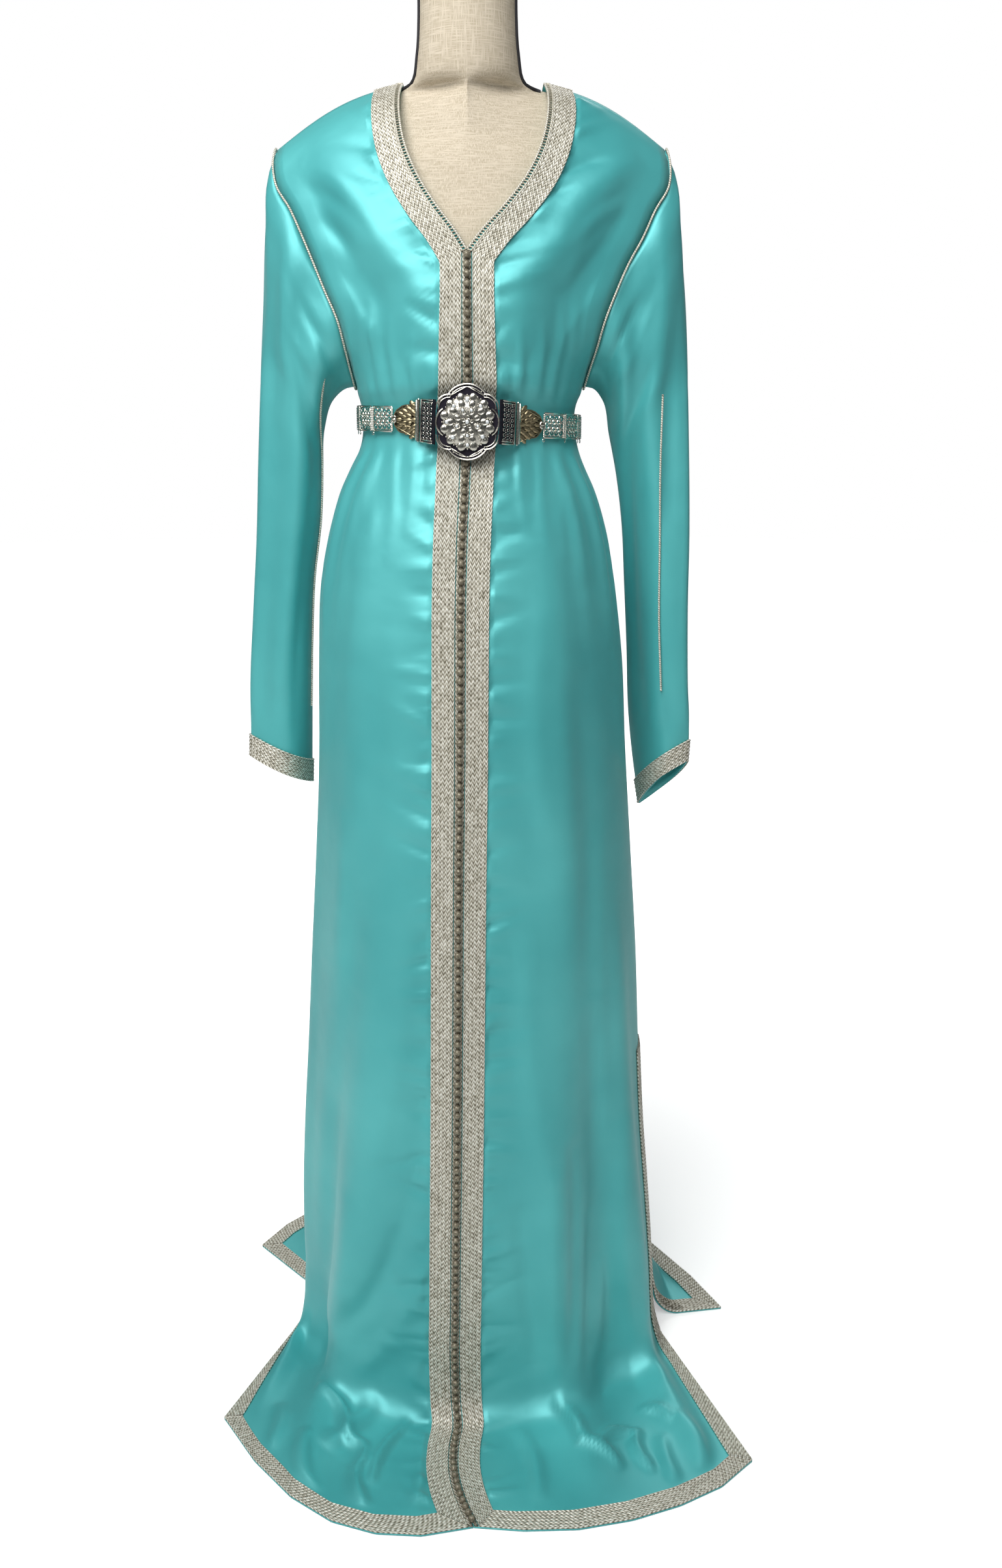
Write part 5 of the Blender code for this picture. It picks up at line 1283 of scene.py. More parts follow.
# %% Creases of the sleeves
# Each line is turn round, share down, turn round, share down, bow, half width, height in metres. A turn
# is 0 at the underarm, 0.25 on the front, 0.5 at the outer edge and 0.75 on the back.
SLEEVE_CREASES = {
    -1: [
        (0.30, 0.02, 0.34, 0.34, 0.010, 0.020, 0.0050),
        (0.20, 0.06, 0.24, 0.40, -0.012, 0.018, -0.0048),
        (0.12, 0.05, 0.15, 0.30, 0.010, 0.016, 0.0040),
        (0.40, 0.08, 0.42, 0.50, 0.012, 0.018, -0.0036),
        (0.26, 0.34, 0.30, 0.78, 0.014, 0.020, 0.0052),
        (0.16, 0.40, 0.20, 0.86, -0.012, 0.018, -0.0046),
        (0.36, 0.46, 0.37, 0.92, -0.010, 0.018, -0.0040),
        (0.44, 0.40, 0.44, 0.86, 0.010, 0.018, 0.0040),
        (0.10, 0.12, 0.26, 0.20, 0.010, 0.014, -0.0040),
        (0.12, 0.20, 0.27, 0.29, 0.008, 0.013, 0.0034),
        (0.62, 0.04, 0.60, 0.44, 0.010, 0.020, 0.0048),
        (0.72, 0.08, 0.71, 0.50, -0.012, 0.020, -0.0044),
        (0.84, 0.10, 0.80, 0.60, 0.012, 0.020, 0.0044),
        (0.66, 0.46, 0.64, 0.92, 0.012, 0.020, 0.0046),
        (0.78, 0.52, 0.77, 0.94, -0.010, 0.018, -0.0040),
        (0.90, 0.14, 0.80, 0.24, 0.008, 0.014, -0.0036),
    ],
    1: [
        (0.32, 0.02, 0.33, 0.38, -0.010, 0.020, 0.0050),
        (0.22, 0.05, 0.25, 0.36, 0.012, 0.018, -0.0048),
        (0.13, 0.06, 0.16, 0.34, -0.008, 0.016, 0.0042),
        (0.41, 0.06, 0.40, 0.56, 0.012, 0.018, -0.0040),
        (0.28, 0.38, 0.31, 0.84, -0.014, 0.020, 0.0050),
        (0.18, 0.36, 0.20, 0.80, 0.012, 0.018, -0.0046),
        (0.37, 0.40, 0.38, 0.94, 0.010, 0.018, -0.0042),
        (0.45, 0.44, 0.45, 0.90, -0.010, 0.018, 0.0040),
        (0.10, 0.14, 0.25, 0.22, -0.010, 0.014, -0.0040),
        (0.11, 0.22, 0.26, 0.32, -0.008, 0.013, 0.0036),
        (0.60, 0.05, 0.61, 0.40, -0.010, 0.020, 0.0048),
        (0.71, 0.07, 0.72, 0.54, 0.012, 0.020, -0.0044),
        (0.85, 0.12, 0.82, 0.62, -0.012, 0.020, 0.0044),
        (0.65, 0.44, 0.66, 0.90, -0.012, 0.020, 0.0046),
        (0.79, 0.50, 0.77, 0.92, 0.010, 0.018, -0.0040),
        (0.91, 0.15, 0.80, 0.26, -0.008, 0.014, -0.0036),
    ],
}
SLEEVE_GIRTH = 0.36           # metres round and metres down by which turns and shares are scaled
SLEEVE_LONG = 0.72
sleeves = {}
for (side, word), table in zip(SIDES, (SLEEVE_LEFT, SLEEVE_RIGHT)):
    rings, leans, loop = sleeve_rings(side, table)
    fade = np.clip(1 - np.arange(len(rings)) / 3, 0, 1)
    around, turns = smooth_between(rings.transpose(1, 0, 2), 0.0062, {0: fade}, closed=True)
    fine, numbers = smooth_between(around.transpose(1, 0, 2), 0.0066)
    normals = facing(grid_normals(fine, ring=True), fine - fine.mean(axis=1, keepdims=True))
    turn = turns / rings.shape[1]
    share = numbers / (len(rings) - 1)
    flat = np.stack(np.meshgrid(turn * SLEEVE_GIRTH, share * SLEEVE_LONG), axis=-1)
    creases = [(a * SLEEVE_GIRTH, b * SLEEVE_LONG, c * SLEEVE_GIRTH, d * SLEEVE_LONG, bow, width, height)
               for a, b, c, d, bow, width, height in SLEEVE_CREASES[side]]
    height = crease_height(flat, creases) * ease(share / 0.06)[:, None] * ease((0.90 - share) / 0.06)[:, None]
    creased = fine + normals * height[..., None]
    piece = grid_object("satin_sleeve_" + word, creased, normals, satin, SHELL, ring=True)
    belongs(piece, "satin", "sleeve_" + word)
    sleeves[side] = (piece, fine, normals, numbers, rings, leans, loop, area_of(
        np.concatenate([creased, creased[:, :1]], axis=1)))
    print(piece.name, "rings", fine.shape, "area", round(sleeves[side][-1], 4))

# %% [markdown]
# ## Silver braid
# The galloon is a flat braid 25 mm wide: a twisted cord along each edge, and between them five columns of
# chain stitch. Its cross-section is swept along the cloth's own rows, with real ridges for the columns
# and cords. The stitches themselves are too small for geometry, so the material draws them from a UV map
# in metres, where U runs along the braid and V across it, as bump and as painted shade in their gaps
# and painted highlights on their crowns.
# %% The braid's cross-section
CORD_SHARE = EDGE_CORD / BRAID_WIDTH
ALMOST_FLAT = 0.72            # share of the braid's thickness that lies under its relief


def braid_relief(t):
    """Height above the braid's base at a share of its width, and how deep in a groove it lies, which sets the
    painted shade in the braid's grooves and part of its bump.
    """
    if t < CORD_SHARE or t > 1 - CORD_SHARE:
        place = (t if t < 0.5 else 1 - t) / CORD_SHARE
        return 0.0009 * math.sin(math.pi * (0.12 + 0.88 * place)), 0.9
    column = (t - CORD_SHARE) / (1 - 2 * CORD_SHARE) * COLUMNS
    bump = abs(math.sin(math.pi * column)) ** 0.7
    return 0.0006 * bump - 0.0001, 0.25 + 0.6 * bump


across_places = sorted({0.0, CORD_SHARE / 2, CORD_SHARE, 1 - CORD_SHARE, 1 - CORD_SHARE / 2, 1.0}
                       | {CORD_SHARE + (1 - 2 * CORD_SHARE) * k / (3 * COLUMNS) for k in range(3 * COLUMNS)})
print("points across the braid", len(across_places))


def tube_faces(count, size, closed=False):
    """Faces of a tube through rings of points, with flat ends unless it closes on itself."""
    faces = []
    for i in range(count if closed else count - 1):
        j = (i + 1) % count
        for k in range(size):
            m = (k + 1) % size
            faces.append((i * size + k, i * size + m, j * size + m, j * size + k))
    if not closed:
        faces.append(tuple(range(size)))
        faces.append(tuple((count - 1) * size + k for k in reversed(range(size))))
    return faces


def tube_uv(path, around, closed):
    """UV pairs of those faces: metres along a path, and the places round the ring, the first one twice."""
    run = running(path)
    run = np.append(run, run[-1] + float(np.linalg.norm(path[0] - path[-1])))
    count, size = len(path), len(around) - 1
    flat = []
    for i in range(count if closed else count - 1):
        for k in range(size):
            flat += [(run[i], around[k]), (run[i], around[k + 1]),
                     (run[i + 1], around[k + 1]), (run[i + 1], around[k])]
    if not closed:
        flat += [(0.0, around[k]) for k in range(size)]
        flat += [(run[count - 1], around[k]) for k in reversed(range(size))]
    return flat


def braid_piece(name, lines, lean, nodes, closed=False, relief=braid_relief, places=across_places,
                width=BRAID_WIDTH):
    """A closed flat trim. lines are points on the cloth, lengthwise first and then across."""
    count, wide = lines.shape[:2]
    heights, depth = np.array([relief(t) for t in places]).T
    top = lines + lean * (LIFT + BRAID * ALMOST_FLAT + heights)[None, :, None]
    under = lines[:, [0, -1]] + lean[:, [0, -1]] * LIFT
    ring = np.concatenate([top, under[:, ::-1]], axis=1)
    around = [*(np.array(places) * width), width, 0.0, 0.0]
    made = mesh_object(name, ring, tube_faces(count, wide + 2, closed), braid_look,
                       tube_uv(lines[:, wide // 2], around, closed))
    # The relief attribute paints shade: low in the grooves and at the two under edges (0.2), high on the
    # crowns.
    groove = made.data.attributes.new("relief", "FLOAT", "POINT")
    groove.data.foreach_set("value", np.tile(np.append(depth, [0.2, 0.2]), count))
    belongs(made, "silver_braid", *nodes)
    return made


def flat_braid(name, lines, *nodes, **settings):
    """A trim that lies on the body or the floor, with the normals of its own surface."""
    away = lines.copy()
    away[..., 2] = np.where(lines[..., 2] < 0.03, 1.0, 0.0)
    return braid_piece(name, lines, facing(grid_normals(lines), away), nodes, **settings)


def row_at(rows, numbers, place):
    """A row between two fine rows."""
    return np.stack([[np.interp(place, numbers, rows[:, j, k]) for k in range(3)]
                     for j in range(rows.shape[1])])


# %% Braid down the fronts, round the hems and up the slits
LAST = len(FRONT) + len(SKIRT) + len(TURN)
STEP = 0.0035                 # metres between the braid's cross-sections


def edge_lines(rows, numbers, first, last, start, from_end, mitre_last=0.0):
    """Lines down a panel at shares of the braid's width from one of its side edges."""
    chosen = (numbers >= first) & (numbers <= last)
    made = []
    for t in across_places:
        line = []
        for row in rows[chosen]:
            place = start + t * BRAID_WIDTH
            line.append(along(row, [length_of(row) - place if from_end else place])[0])
        made.append(np.array(line))
    count = max(8, int(length_of(made[0]) / STEP))
    even = [along(line, np.linspace(0, length_of(line) - mitre_last * t, count))
            for line, t in zip(made, across_places)]
    return np.stack(even, axis=1)


def hem_lines(rows, numbers, start, end_mitre):
    """Lines along a hem at shares of the braid's width up from it, mitred at one or both ends."""
    made = []
    count = None
    for t in across_places:
        row = row_at(rows, numbers, LAST - t)
        total = length_of(row)
        first = start + t * BRAID_WIDTH if start is not None else 0.0
        last = total - (t * BRAID_WIDTH if end_mitre else 0.0)
        count = count or max(8, int((last - first) / STEP))
        made.append(along(row, np.linspace(first, last, count)))
    return np.stack(made, axis=1)


braids = {"front_left": [], "front_right": [], "back": [], "sleeve_left": [], "sleeve_right": []}
for side, word in SIDES:
    rows, numbers = panel_rows[(-1, side)], row_numbers[(-1, side)]
    down = edge_lines(rows, numbers, 0, LAST, PICOT_WIDTH, False, BRAID_WIDTH)
    hem = hem_lines(rows, numbers, PICOT_WIDTH, True)
    slit = edge_lines(rows, numbers, SLIT_ROW, LAST, 0.0, True, BRAID_WIDTH)
    braids["front_" + word] += [flat_braid("galloon_front_" + word, down, "braid_front_" + word),
                                flat_braid("galloon_hem_" + word, hem),
                                flat_braid("galloon_slit_" + word, slit)]
    rows, numbers = panel_rows[(1, side)], row_numbers[(1, side)]
    hem = hem_lines(rows, numbers, None, True)
    slit = edge_lines(rows, numbers, SLIT_ROW, LAST, 0.0, True, BRAID_WIDTH)
    braids["back"] += [flat_braid("galloon_back_hem_" + word, hem, "braid_back_hem"),
                       flat_braid("galloon_back_slit_" + word, slit)]
    _, fine, normals, numbers, rings, *_ = sleeves[side]
    cuff, lean = (np.stack([row_at(grid, numbers, len(rings) - 1 - t) for t in across_places], axis=1)
                  for grid in (fine, normals))
    braids["sleeve_" + word].append(braid_piece("galloon_cuff_" + word, cuff, unit(lean),
                                                ["cuff_braid_" + word], closed=True))
print("braid triangles", sum(len(p.vertices) - 2 for pieces in braids.values() for o in pieces
                             for p in o.data.polygons))

# %% [markdown]
# ## Neck edge
# Round the neck the galloon turns square to the neckline, and a ladder lace called picot is sewn to its
# inner edge: two thin cords joined by short bars, with dark holes between. Behind the neck both are laid
# by projecting their lines onto the fine surface of the back.
# %% Braid behind the neck
NECK_TURN = (24.8, 36.0, 54.0, 74.0, 90.0)     # degrees below level at which the back neck braid lies
NECK_STEP = 0.0028                             # metres between its cross-sections
surface_points, surface_faces = [], []
for side in (-1, 1):
    grid = panel_grids[(1, side)][0]
    chosen = grid[row_numbers[(1, side)] <= UNDERARM]
    start = len(surface_points)
    surface_points += [tuple(p) for p in chosen.reshape(-1, 3)]
    wide = chosen.shape[1]
    surface_faces += [(start + i * wide + j, start + i * wide + j + 1, start + (i + 1) * wide + j + 1,
                       start + (i + 1) * wide + j) for i in range(len(chosen) - 1) for j in range(wide - 1)]
back_surface = BVHTree.FromPolygons(surface_points, surface_faces)


def back_depth(x, z):
    """How far back the cloth lies at a place on the upper back."""
    rows = panel_grids[(1, -1 if x < 0 else 1)][0][::12]
    heights = [np.interp(abs(x), np.abs(row[:, 0]), row[:, 2]) for row in rows[:26]]
    depths = [np.interp(abs(x), np.abs(row[:, 0]), row[:, 1]) for row in rows[:26]]
    return float(np.interp(-z, [-h for h in heights], depths))


stations = []
for side, numbers in ((-1, row_numbers[(1, -1)]), (1, row_numbers[(1, 1)])):
    chosen = numbers <= BACK_NECK
    edge = panel_grids[(1, side)][0][chosen, 0]
    turn = np.radians(np.interp(numbers[chosen], np.arange(5), NECK_TURN))
    way = np.column_stack([side * np.cos(turn), np.zeros(len(turn)), -np.sin(turn)])
    stations.append((edge, way) if side < 0 else (edge[-2::-1], way[-2::-1]))
neck_edge = np.concatenate([stations[0][0], stations[1][0]])
neck_way = np.concatenate([stations[0][1], stations[1][1]])
reach = running(neck_edge)
even = np.linspace(0, reach[-1], int(reach[-1] / NECK_STEP))
neck_edge, neck_way = between(even, reach, neck_edge), unit(between(even, reach, neck_way))


def neck_band(first, last, places):
    """Lines behind the neck between two distances from the neckline."""
    band = []
    for number, (start, way) in enumerate(zip(neck_edge, neck_way)):
        line = []
        for t in places:
            x, _, z = start + way * (first + t * (last - first))
            if number in (0, len(neck_edge) - 1):
                seam = panel_grids[(1, -1 if x < 0 else 1)][0][0]
                line.append([x] + [np.interp(abs(x), np.abs(seam[:, 0]), seam[:, k]) for k in (1, 2)])
            elif first + t == 0:
                line.append(list(start))
            else:
                line.append(list(back_surface.find_nearest((x, back_depth(x, z), z))[0]))
        band.append(line)
    return np.array(band)


neck = neck_band(PICOT_WIDTH, PICOT_WIDTH + BRAID_WIDTH, across_places)
neck_away = np.zeros(neck.shape)
neck_away[..., 1:] = 1.0
neck_lean = facing(grid_normals(neck), neck_away)
neck_lean[[0, -1], :, 1] = 0
braids["back"].append(braid_piece("galloon_back_neck", neck, unit(neck_lean), ["braid_back_neck"]))
print("sections of the back neck's braid", len(neck))


# %% Cords of twisted metal thread
def cord_piece(name, path, radius, look, slot, nodes, closed=False, sides=8, step=None):
    """A round cord along points, with U along it and V round it for its twist."""
    path = np.asarray(path, float)
    if step:
        whole = np.concatenate([path, path[:1]]) if closed else path
        total = length_of(whole)
        path = along(whole, np.linspace(0, total, max(4, int(total / step)) + 1))
        path = path[:-1] if closed else path
    if closed:
        wide = wrapped(path)
        ahead = unit(wide[2:] - wide[:-2])
    else:
        ahead = unit(np.gradient(path, axis=0))
    over = [unit(np.cross(ahead[0], [0.31, 0.52, 0.79]))]
    for way in ahead[1:]:
        over.append(unit(over[-1] - way * (over[-1] @ way)))
    over = np.array(over)
    turn = 2 * math.pi * np.arange(sides) / sides
    ring = (path[:, None] + radius * (np.cos(turn)[None, :, None] * over[:, None]
                                      + np.sin(turn)[None, :, None] * np.cross(ahead, over)[:, None]))
    made = mesh_object(name, ring, tube_faces(len(path), sides, closed), look,
                       tube_uv(path, [k / sides for k in range(sides + 1)], closed))
    belongs(made, slot, *nodes)
    return made


# %% Joined pieces, and the cords on the sleeves
def join_pieces(name, pieces):
    """Joins finished pieces of one look into the first, which takes the name."""
    clear_selection()
    for piece in pieces:
        piece.select_set(True)
    bpy.context.view_layer.objects.active = pieces[0]
    bpy.ops.object.join()
    pieces[0].name = name
    pieces[0].select_set(False)
    return pieces[0]


SEAM_CORD = CORD_RADIUS * 0.75

for side, word in SIDES:
    _, _, _, _, rings, leans, loop, _ = sleeves[side]
    sleeve_lean = unit(leans[1] + leans[0] * 0.2)
    way = unit(leans[0] + sleeve_lean)
    far = (SEAM_CORD + 2 * LIFT) / np.maximum((way * leans[0]).sum(axis=1), 0.5)
    far[[1, -1]] += LIFT
    path, _ = smooth_between(((loop + rings[0]) / 2 + way * far[:, None])[:, None], 0.004, closed=True)
    armhole_cord = cord_piece("armhole_cord_of_" + word, path[:, 0], SEAM_CORD, cord_look, "silver_cord",
                              ["armhole_cord_" + word], closed=True, step=0.0036)
    column, first = (2, 2) if side < 0 else (7, 4)
    base = rings[first:-2, column] + leans[first:-2, column] * (SEAM_CORD + 2 * LIFT)
    path, _ = smooth_between(base[:, None], 0.004)
    seam_cord = cord_piece("sleeve_cord_of_" + word, path[:, 0], SEAM_CORD, cord_look, "silver_cord",
                           ["sleeve_cord_" + word], step=0.0036)
    braids["sleeve_" + word] += [armhole_cord, seam_cord]
print("trims of a sleeve", len(braids["sleeve_left"]))

# %% Picot: two cords and the bars between them
PICOT_PITCH = 0.0036          # metres from bar to bar
PICOT_CORD = 0.0013           # radius of its cords
BAR_WIDTH, BAR_THICK = 0.0019, 0.0012
BAR_SUNK = 0.0004             # metres that a bar lies under the cords' middle lines


def bars_piece(name, starts, ends, leans, width, thick):
    """Short flat bars from starts to ends, in one mesh."""
    vertices, faces = [], []
    for a, b, lean in zip(starts, ends, leans):
        across = unit(b - a)
        sideways = unit(np.cross(across, lean)) * width / 2
        base = len(vertices)
        for end in (a, b):
            for up, wide in ((0, -1), (0, 1), (1, 0.6), (1, -0.6)):
                vertices.append(tuple(end + sideways * wide + lean * up * thick))
        faces += [(base, base + 1, base + 5, base + 4), (base + 1, base + 2, base + 6, base + 5),
                  (base + 2, base + 3, base + 7, base + 6), (base + 3, base, base + 4, base + 7),
                  (base + 3, base + 2, base + 1, base), (base + 4, base + 5, base + 6, base + 7)]
    return mesh_object(name, vertices, faces, cord_look, change=weld_outward, smooth=False)


def picot_piece(name, outer, inner, lean, nodes):
    """The ladder between a line at the neck edge and a line at the braid's edge."""
    lift = lean * (LIFT + PICOT_CORD)
    near = outer + (inner - outer) * 0.06 + lift * 0.4
    far = outer + (inner - outer) * 0.86 + lift
    total = length_of(near)
    places = np.linspace(0, 1, int(total / PICOT_PITCH) + 1)
    a, b, up = (between(places, running(near) / total, points) for points in (near, far, lean))
    parts = [cord_piece(name + "_inner", near, PICOT_CORD, cord_look, "silver_braid", [], sides=6,
                        step=0.003),
             cord_piece(name + "_outer", far, PICOT_CORD * 0.8, cord_look, "silver_braid", [], sides=6,
                        step=0.003),
             bars_piece(name + "_bars", a - up * BAR_SUNK, b - up * BAR_SUNK, up, BAR_WIDTH, BAR_THICK)]
    made = join_pieces(name, parts)
    belongs(made, "silver_braid", *nodes)
    return made


def edge_points(side, first, last, place):
    """Points down a front at one distance from its front edge, and the cloth's normals there."""
    numbers = row_numbers[(-1, side)]
    chosen = (numbers >= first) & (numbers <= last)
    grid, normals = panel_grids[(-1, side)]
    line = np.array([along(row, [place])[0] for row in panel_rows[(-1, side)][chosen]])
    column = int(np.argmin(np.abs(np.array(FRONT_FIXED) - place)))
    return line, normals[chosen, column]


for side, word in SIDES:
    outer, lean = edge_points(side, 0, EDGE_ROW, 0.0)
    inner, _ = edge_points(side, 0, EDGE_ROW, PICOT_WIDTH)
    braids["front_" + word].append(picot_piece("picot_lace_" + word, outer, inner, lean,
                                               ["picot_" + word]))
picot_band = neck_band(0.0, PICOT_WIDTH, (0.0, 1.0))
picot_lean = unit(neck_lean[:, 0])
braids["back"].append(picot_piece("picot_lace_back", picot_band[:, 0], picot_band[:, 1], picot_lean, []))
print("trims of the back", len(braids["back"]))


# %% Tape under the buttons
def tape_relief(t):
    """A tape is lower than the galloon and only slightly arched."""
    # Its second number is the painted shade level of the whole tape.
    return 0.0003 * math.sin(math.pi * min(max(t, 0.0), 1.0)) - BRAID * 0.5, 0.30


TAPE_EDGE = 0.0007            # metres between a tape and the slit between the fronts
TAPE_WIDTH = PICOT_WIDTH - 2 * TAPE_EDGE
TAPE_PLACES = (0.0, 0.5, 1.0)
for side, word in SIDES:
    lines = np.stack([edge_points(side, EDGE_ROW, LAST, TAPE_EDGE + t * TAPE_WIDTH)[0]
                      for t in TAPE_PLACES], axis=1)
    braids["front_" + word].append(flat_braid("button_tape_" + word, lines, relief=tape_relief,
                                              places=TAPE_PLACES, width=TAPE_WIDTH))
print("trims of a front", len(braids["front_left"]))

# %% [markdown]
# ## Ball buttons
# Each button is a cord tied into a ball, so its surface is a few fat strands that cross. One ball is
# modelled from a sphere by pulling some points in to leave the strands standing, and it is copied down
# the front, each copy turned a little differently, because hand-tied knots never match.
# %% One knotted ball
clear_selection()
bpy.ops.mesh.primitive_uv_sphere_add(segments=10, ring_count=6, radius=BUTTON_RADIUS)
ball = bpy.context.object
ball.name = "knotted_ball"
bpy.ops.object.mode_set(mode="EDIT")
bpy.ops.mesh.select_all(action="DESELECT")
shape = bmesh.from_edit_mesh(ball.data)
for vertex in shape.verts:
    turn = math.atan2(vertex.co.y, vertex.co.x)
    ring = round(math.degrees(math.acos(max(-1, min(1, vertex.co.z / BUTTON_RADIUS)))) / 30)
    vertex.select = (round(turn / (math.pi / 5)) + ring) % 2 == 0 and 0 < ring < 6
shape.select_flush_mode()
bmesh.update_edit_mesh(ball.data)
bpy.ops.transform.resize(value=(0.84, 0.84, 0.84), center_override=(0, 0, 0))
bpy.ops.object.mode_set(mode="OBJECT")
ball.data.shade_smooth()
ball.data.materials.append(ball_look)
print("ball faces", len(ball.data.polygons))


def copy_of(source, place):
    """A copy with a mesh of its own, put in its place by a matrix."""
    copy = source.copy()
    copy.data = source.data.copy()
    copy.data.transform(place)
    bpy.context.scene.collection.objects.link(copy)
    return copy


# %% The row of buttons, from the V-point to the hem
left_edge, left_lean = edge_points(-1, EDGE_ROW, LAST, 0.0)
right_edge, right_lean = edge_points(1, EDGE_ROW, LAST, 0.0)
button_lean = unit(left_lean + right_lean)
button_line = (left_edge + right_edge) / 2 + button_lean * (BUTTON_RADIUS + LIFT)
pitch = (length_of(button_line) - 2 * BUTTON_MARGIN) / BUTTONS
centres = along(button_line, BUTTON_MARGIN + (np.arange(BUTTONS) + 0.5) * pitch)
chance = np.random.default_rng(11)
balls = []
for number, centre in enumerate(centres):
    ahead = unit(centres[min(number + 1, BUTTONS - 1)] - centres[max(number - 1, 0)])
    size = chance.uniform(0.93, 1.0)
    turn = Matrix.Rotation(chance.uniform(0, math.pi), 4, "Z")
    turn = turn @ Matrix.Rotation(chance.uniform(-0.5, 0.5), 4, "X")
    lie = Vector(ahead).to_track_quat("Z", "Y").to_matrix().to_4x4()
    squash = Matrix.Diagonal((size * 0.96, size * 0.96, size * 0.94, 1))
    balls.append(copy_of(ball, Matrix.Translation(Vector(centre)) @ lie @ turn @ squash))
# A dark cord sunk under the balls: painted shade in the gaps between the buttons.
core = cord_piece("button_core", button_line[2:-1] - button_lean[2:-1] * 0.0022, 0.0014, shade_look,
                  "silver_cord", [], sides=6, step=0.006)
bpy.data.objects.remove(ball)
button_row = join_pieces("knotted_buttons", balls)
belongs(button_row, "silver_cord", "button_row")
braids["front_right"] += [button_row, core]
print("buttons", BUTTONS, "pitch", round(pitch * 1000, 2), "mm, triangles",
      sum(len(p.vertices) - 2 for p in button_row.data.polygons))

# %% [markdown]
# ## The belt
# A town jeweller makes such a belt from cast and wire-worked plates: a domed rosette buckle with stones,
# dark filigree wings, hinges, bronze leaves and square openwork links. Every kind of wire, bead, petal
# and stone is modelled once, lying flat with Y up and Z outward, and copied into its plate. The finished
# plate is then stood where its solid stands.
# %% Wires, rings and turned parts
MM = 0.001


def edit_all():
    """Opens the active object for editing, with all of it selected."""
    bpy.ops.object.mode_set(mode="EDIT")
    bpy.ops.mesh.select_all(action="SELECT")


def raise_by(height):
    """Extrudes what is selected straight up by millimetres."""
    bpy.ops.mesh.extrude_region_move(TRANSFORM_OT_translate={"value": (0, 0, height * MM)})


def finish_part(look):
    """Leaves edit mode with one skin whose faces point outward, and settles the part's place."""
    bpy.ops.mesh.select_all(action="SELECT")
    bpy.ops.mesh.remove_doubles(threshold=1e-6)
    bpy.ops.mesh.normals_make_consistent(inside=False)
    bpy.ops.object.mode_set(mode="OBJECT")
    part = bpy.context.object
    bpy.ops.object.transform_apply(location=True, rotation=True, scale=True)
    bpy.ops.object.shade_smooth_by_angle(angle=math.radians(42))
    part.data.materials.clear()
    part.data.materials.append(look)
    return part


def arc_wire(x, y, radius, first, last, thick, height, look, steps=12, sides=6):
    """Wire bent to an arc: a disc is stood at its start and spun round the centre. Millimetres, degrees."""
    clear_selection()
    a = math.radians(first)
    bpy.ops.mesh.primitive_circle_add(
        vertices=sides, radius=thick * MM, fill_type="NGON", rotation=(math.pi / 2, 0, a),
        location=((x + radius * math.cos(a)) * MM, (y + radius * math.sin(a)) * MM, height * MM))
    edit_all()
    bpy.ops.mesh.spin(steps=steps, angle=math.radians(first - last), center=(x * MM, y * MM, height * MM),
                      axis=(0, 0, 1))
    return finish_part(look)


def straight_wire(x0, y0, x1, y1, thick, height, look, sides=6):
    """Straight wire with softly turned-in ends: a disc extruded along its length."""
    clear_selection()
    turn = math.atan2(y1 - y0, x1 - x0)
    bpy.ops.mesh.primitive_circle_add(vertices=sides, radius=thick * 0.6 * MM, fill_type="NGON",
                                      rotation=(math.pi / 2, 0, turn + math.pi / 2),
                                      location=(x0 * MM, y0 * MM, height * MM))
    edit_all()
    long = math.hypot(x1 - x0, y1 - y0)
    for share, size in ((0.5 * thick / long, 1 / 0.6), (1 - thick / long, 1.0), (0.5 * thick / long, 0.6)):
        bpy.ops.mesh.extrude_region_move(TRANSFORM_OT_translate={
            "value": ((x1 - x0) * share * MM, (y1 - y0) * share * MM, 0)})
        bpy.ops.transform.resize(value=(size, size, size))
    return finish_part(look)


def ring_wire(x, y, radius, thick, height, look, squash=1.0, segments=12):
    """A closed ring of wire, pressed a little oval."""
    clear_selection()
    bpy.ops.mesh.primitive_torus_add(major_segments=segments, minor_segments=5, major_radius=radius * MM,
                                     minor_radius=thick * MM, location=(x * MM, y * MM, height * MM))
    edit_all()
    bpy.ops.transform.resize(value=(1.0, squash, 0.9))
    return finish_part(look)


def turned_part(profile, sides, look):
    """A part built up from a disc by extruding and resizing: (radius, height) pairs in millimetres."""
    clear_selection()
    bpy.ops.mesh.primitive_circle_add(vertices=sides, radius=profile[0][0] * MM, fill_type="NGON",
                                      location=(0, 0, profile[0][1] * MM))
    edit_all()
    for (r0, z0), (r1, z1) in zip(profile, profile[1:]):
        raise_by(z1 - z0)
        bpy.ops.transform.resize(value=(r1 / r0, r1 / r0, 1))
    return finish_part(look)


# %% Plates, copies and standing a part up
def dished_plate(sides, outline, high, border, sunk, look):
    """A plate with a raised border. outline gives x and y in millimetres for a turn round its middle."""
    clear_selection()
    bpy.ops.mesh.primitive_circle_add(vertices=sides, radius=1.0 * MM, fill_type="NGON")
    bpy.ops.object.mode_set(mode="EDIT")
    shape = bmesh.from_edit_mesh(bpy.context.object.data)
    for vertex in shape.verts:
        x, y = outline(math.atan2(vertex.co.y, vertex.co.x))
        vertex.co.x, vertex.co.y = x * MM, y * MM
    bmesh.update_edit_mesh(bpy.context.object.data)
    bpy.ops.mesh.select_all(action="SELECT")
    raise_by(high)
    bpy.ops.mesh.inset(thickness=border * MM)
    raise_by(-sunk)
    return finish_part(look)


def copies(source, places):
    """Copies of a part. A place is x, y, z in millimetres, turn in degrees, width and length."""
    return [copy_of(source, Matrix.Translation((x * MM, y * MM, z * MM))
                    @ Matrix.Rotation(math.radians(turn), 4, "Z")
                    @ Matrix.Diagonal((long, wide, (wide + long) / 2, 1)))
            for x, y, z, turn, wide, long in places]


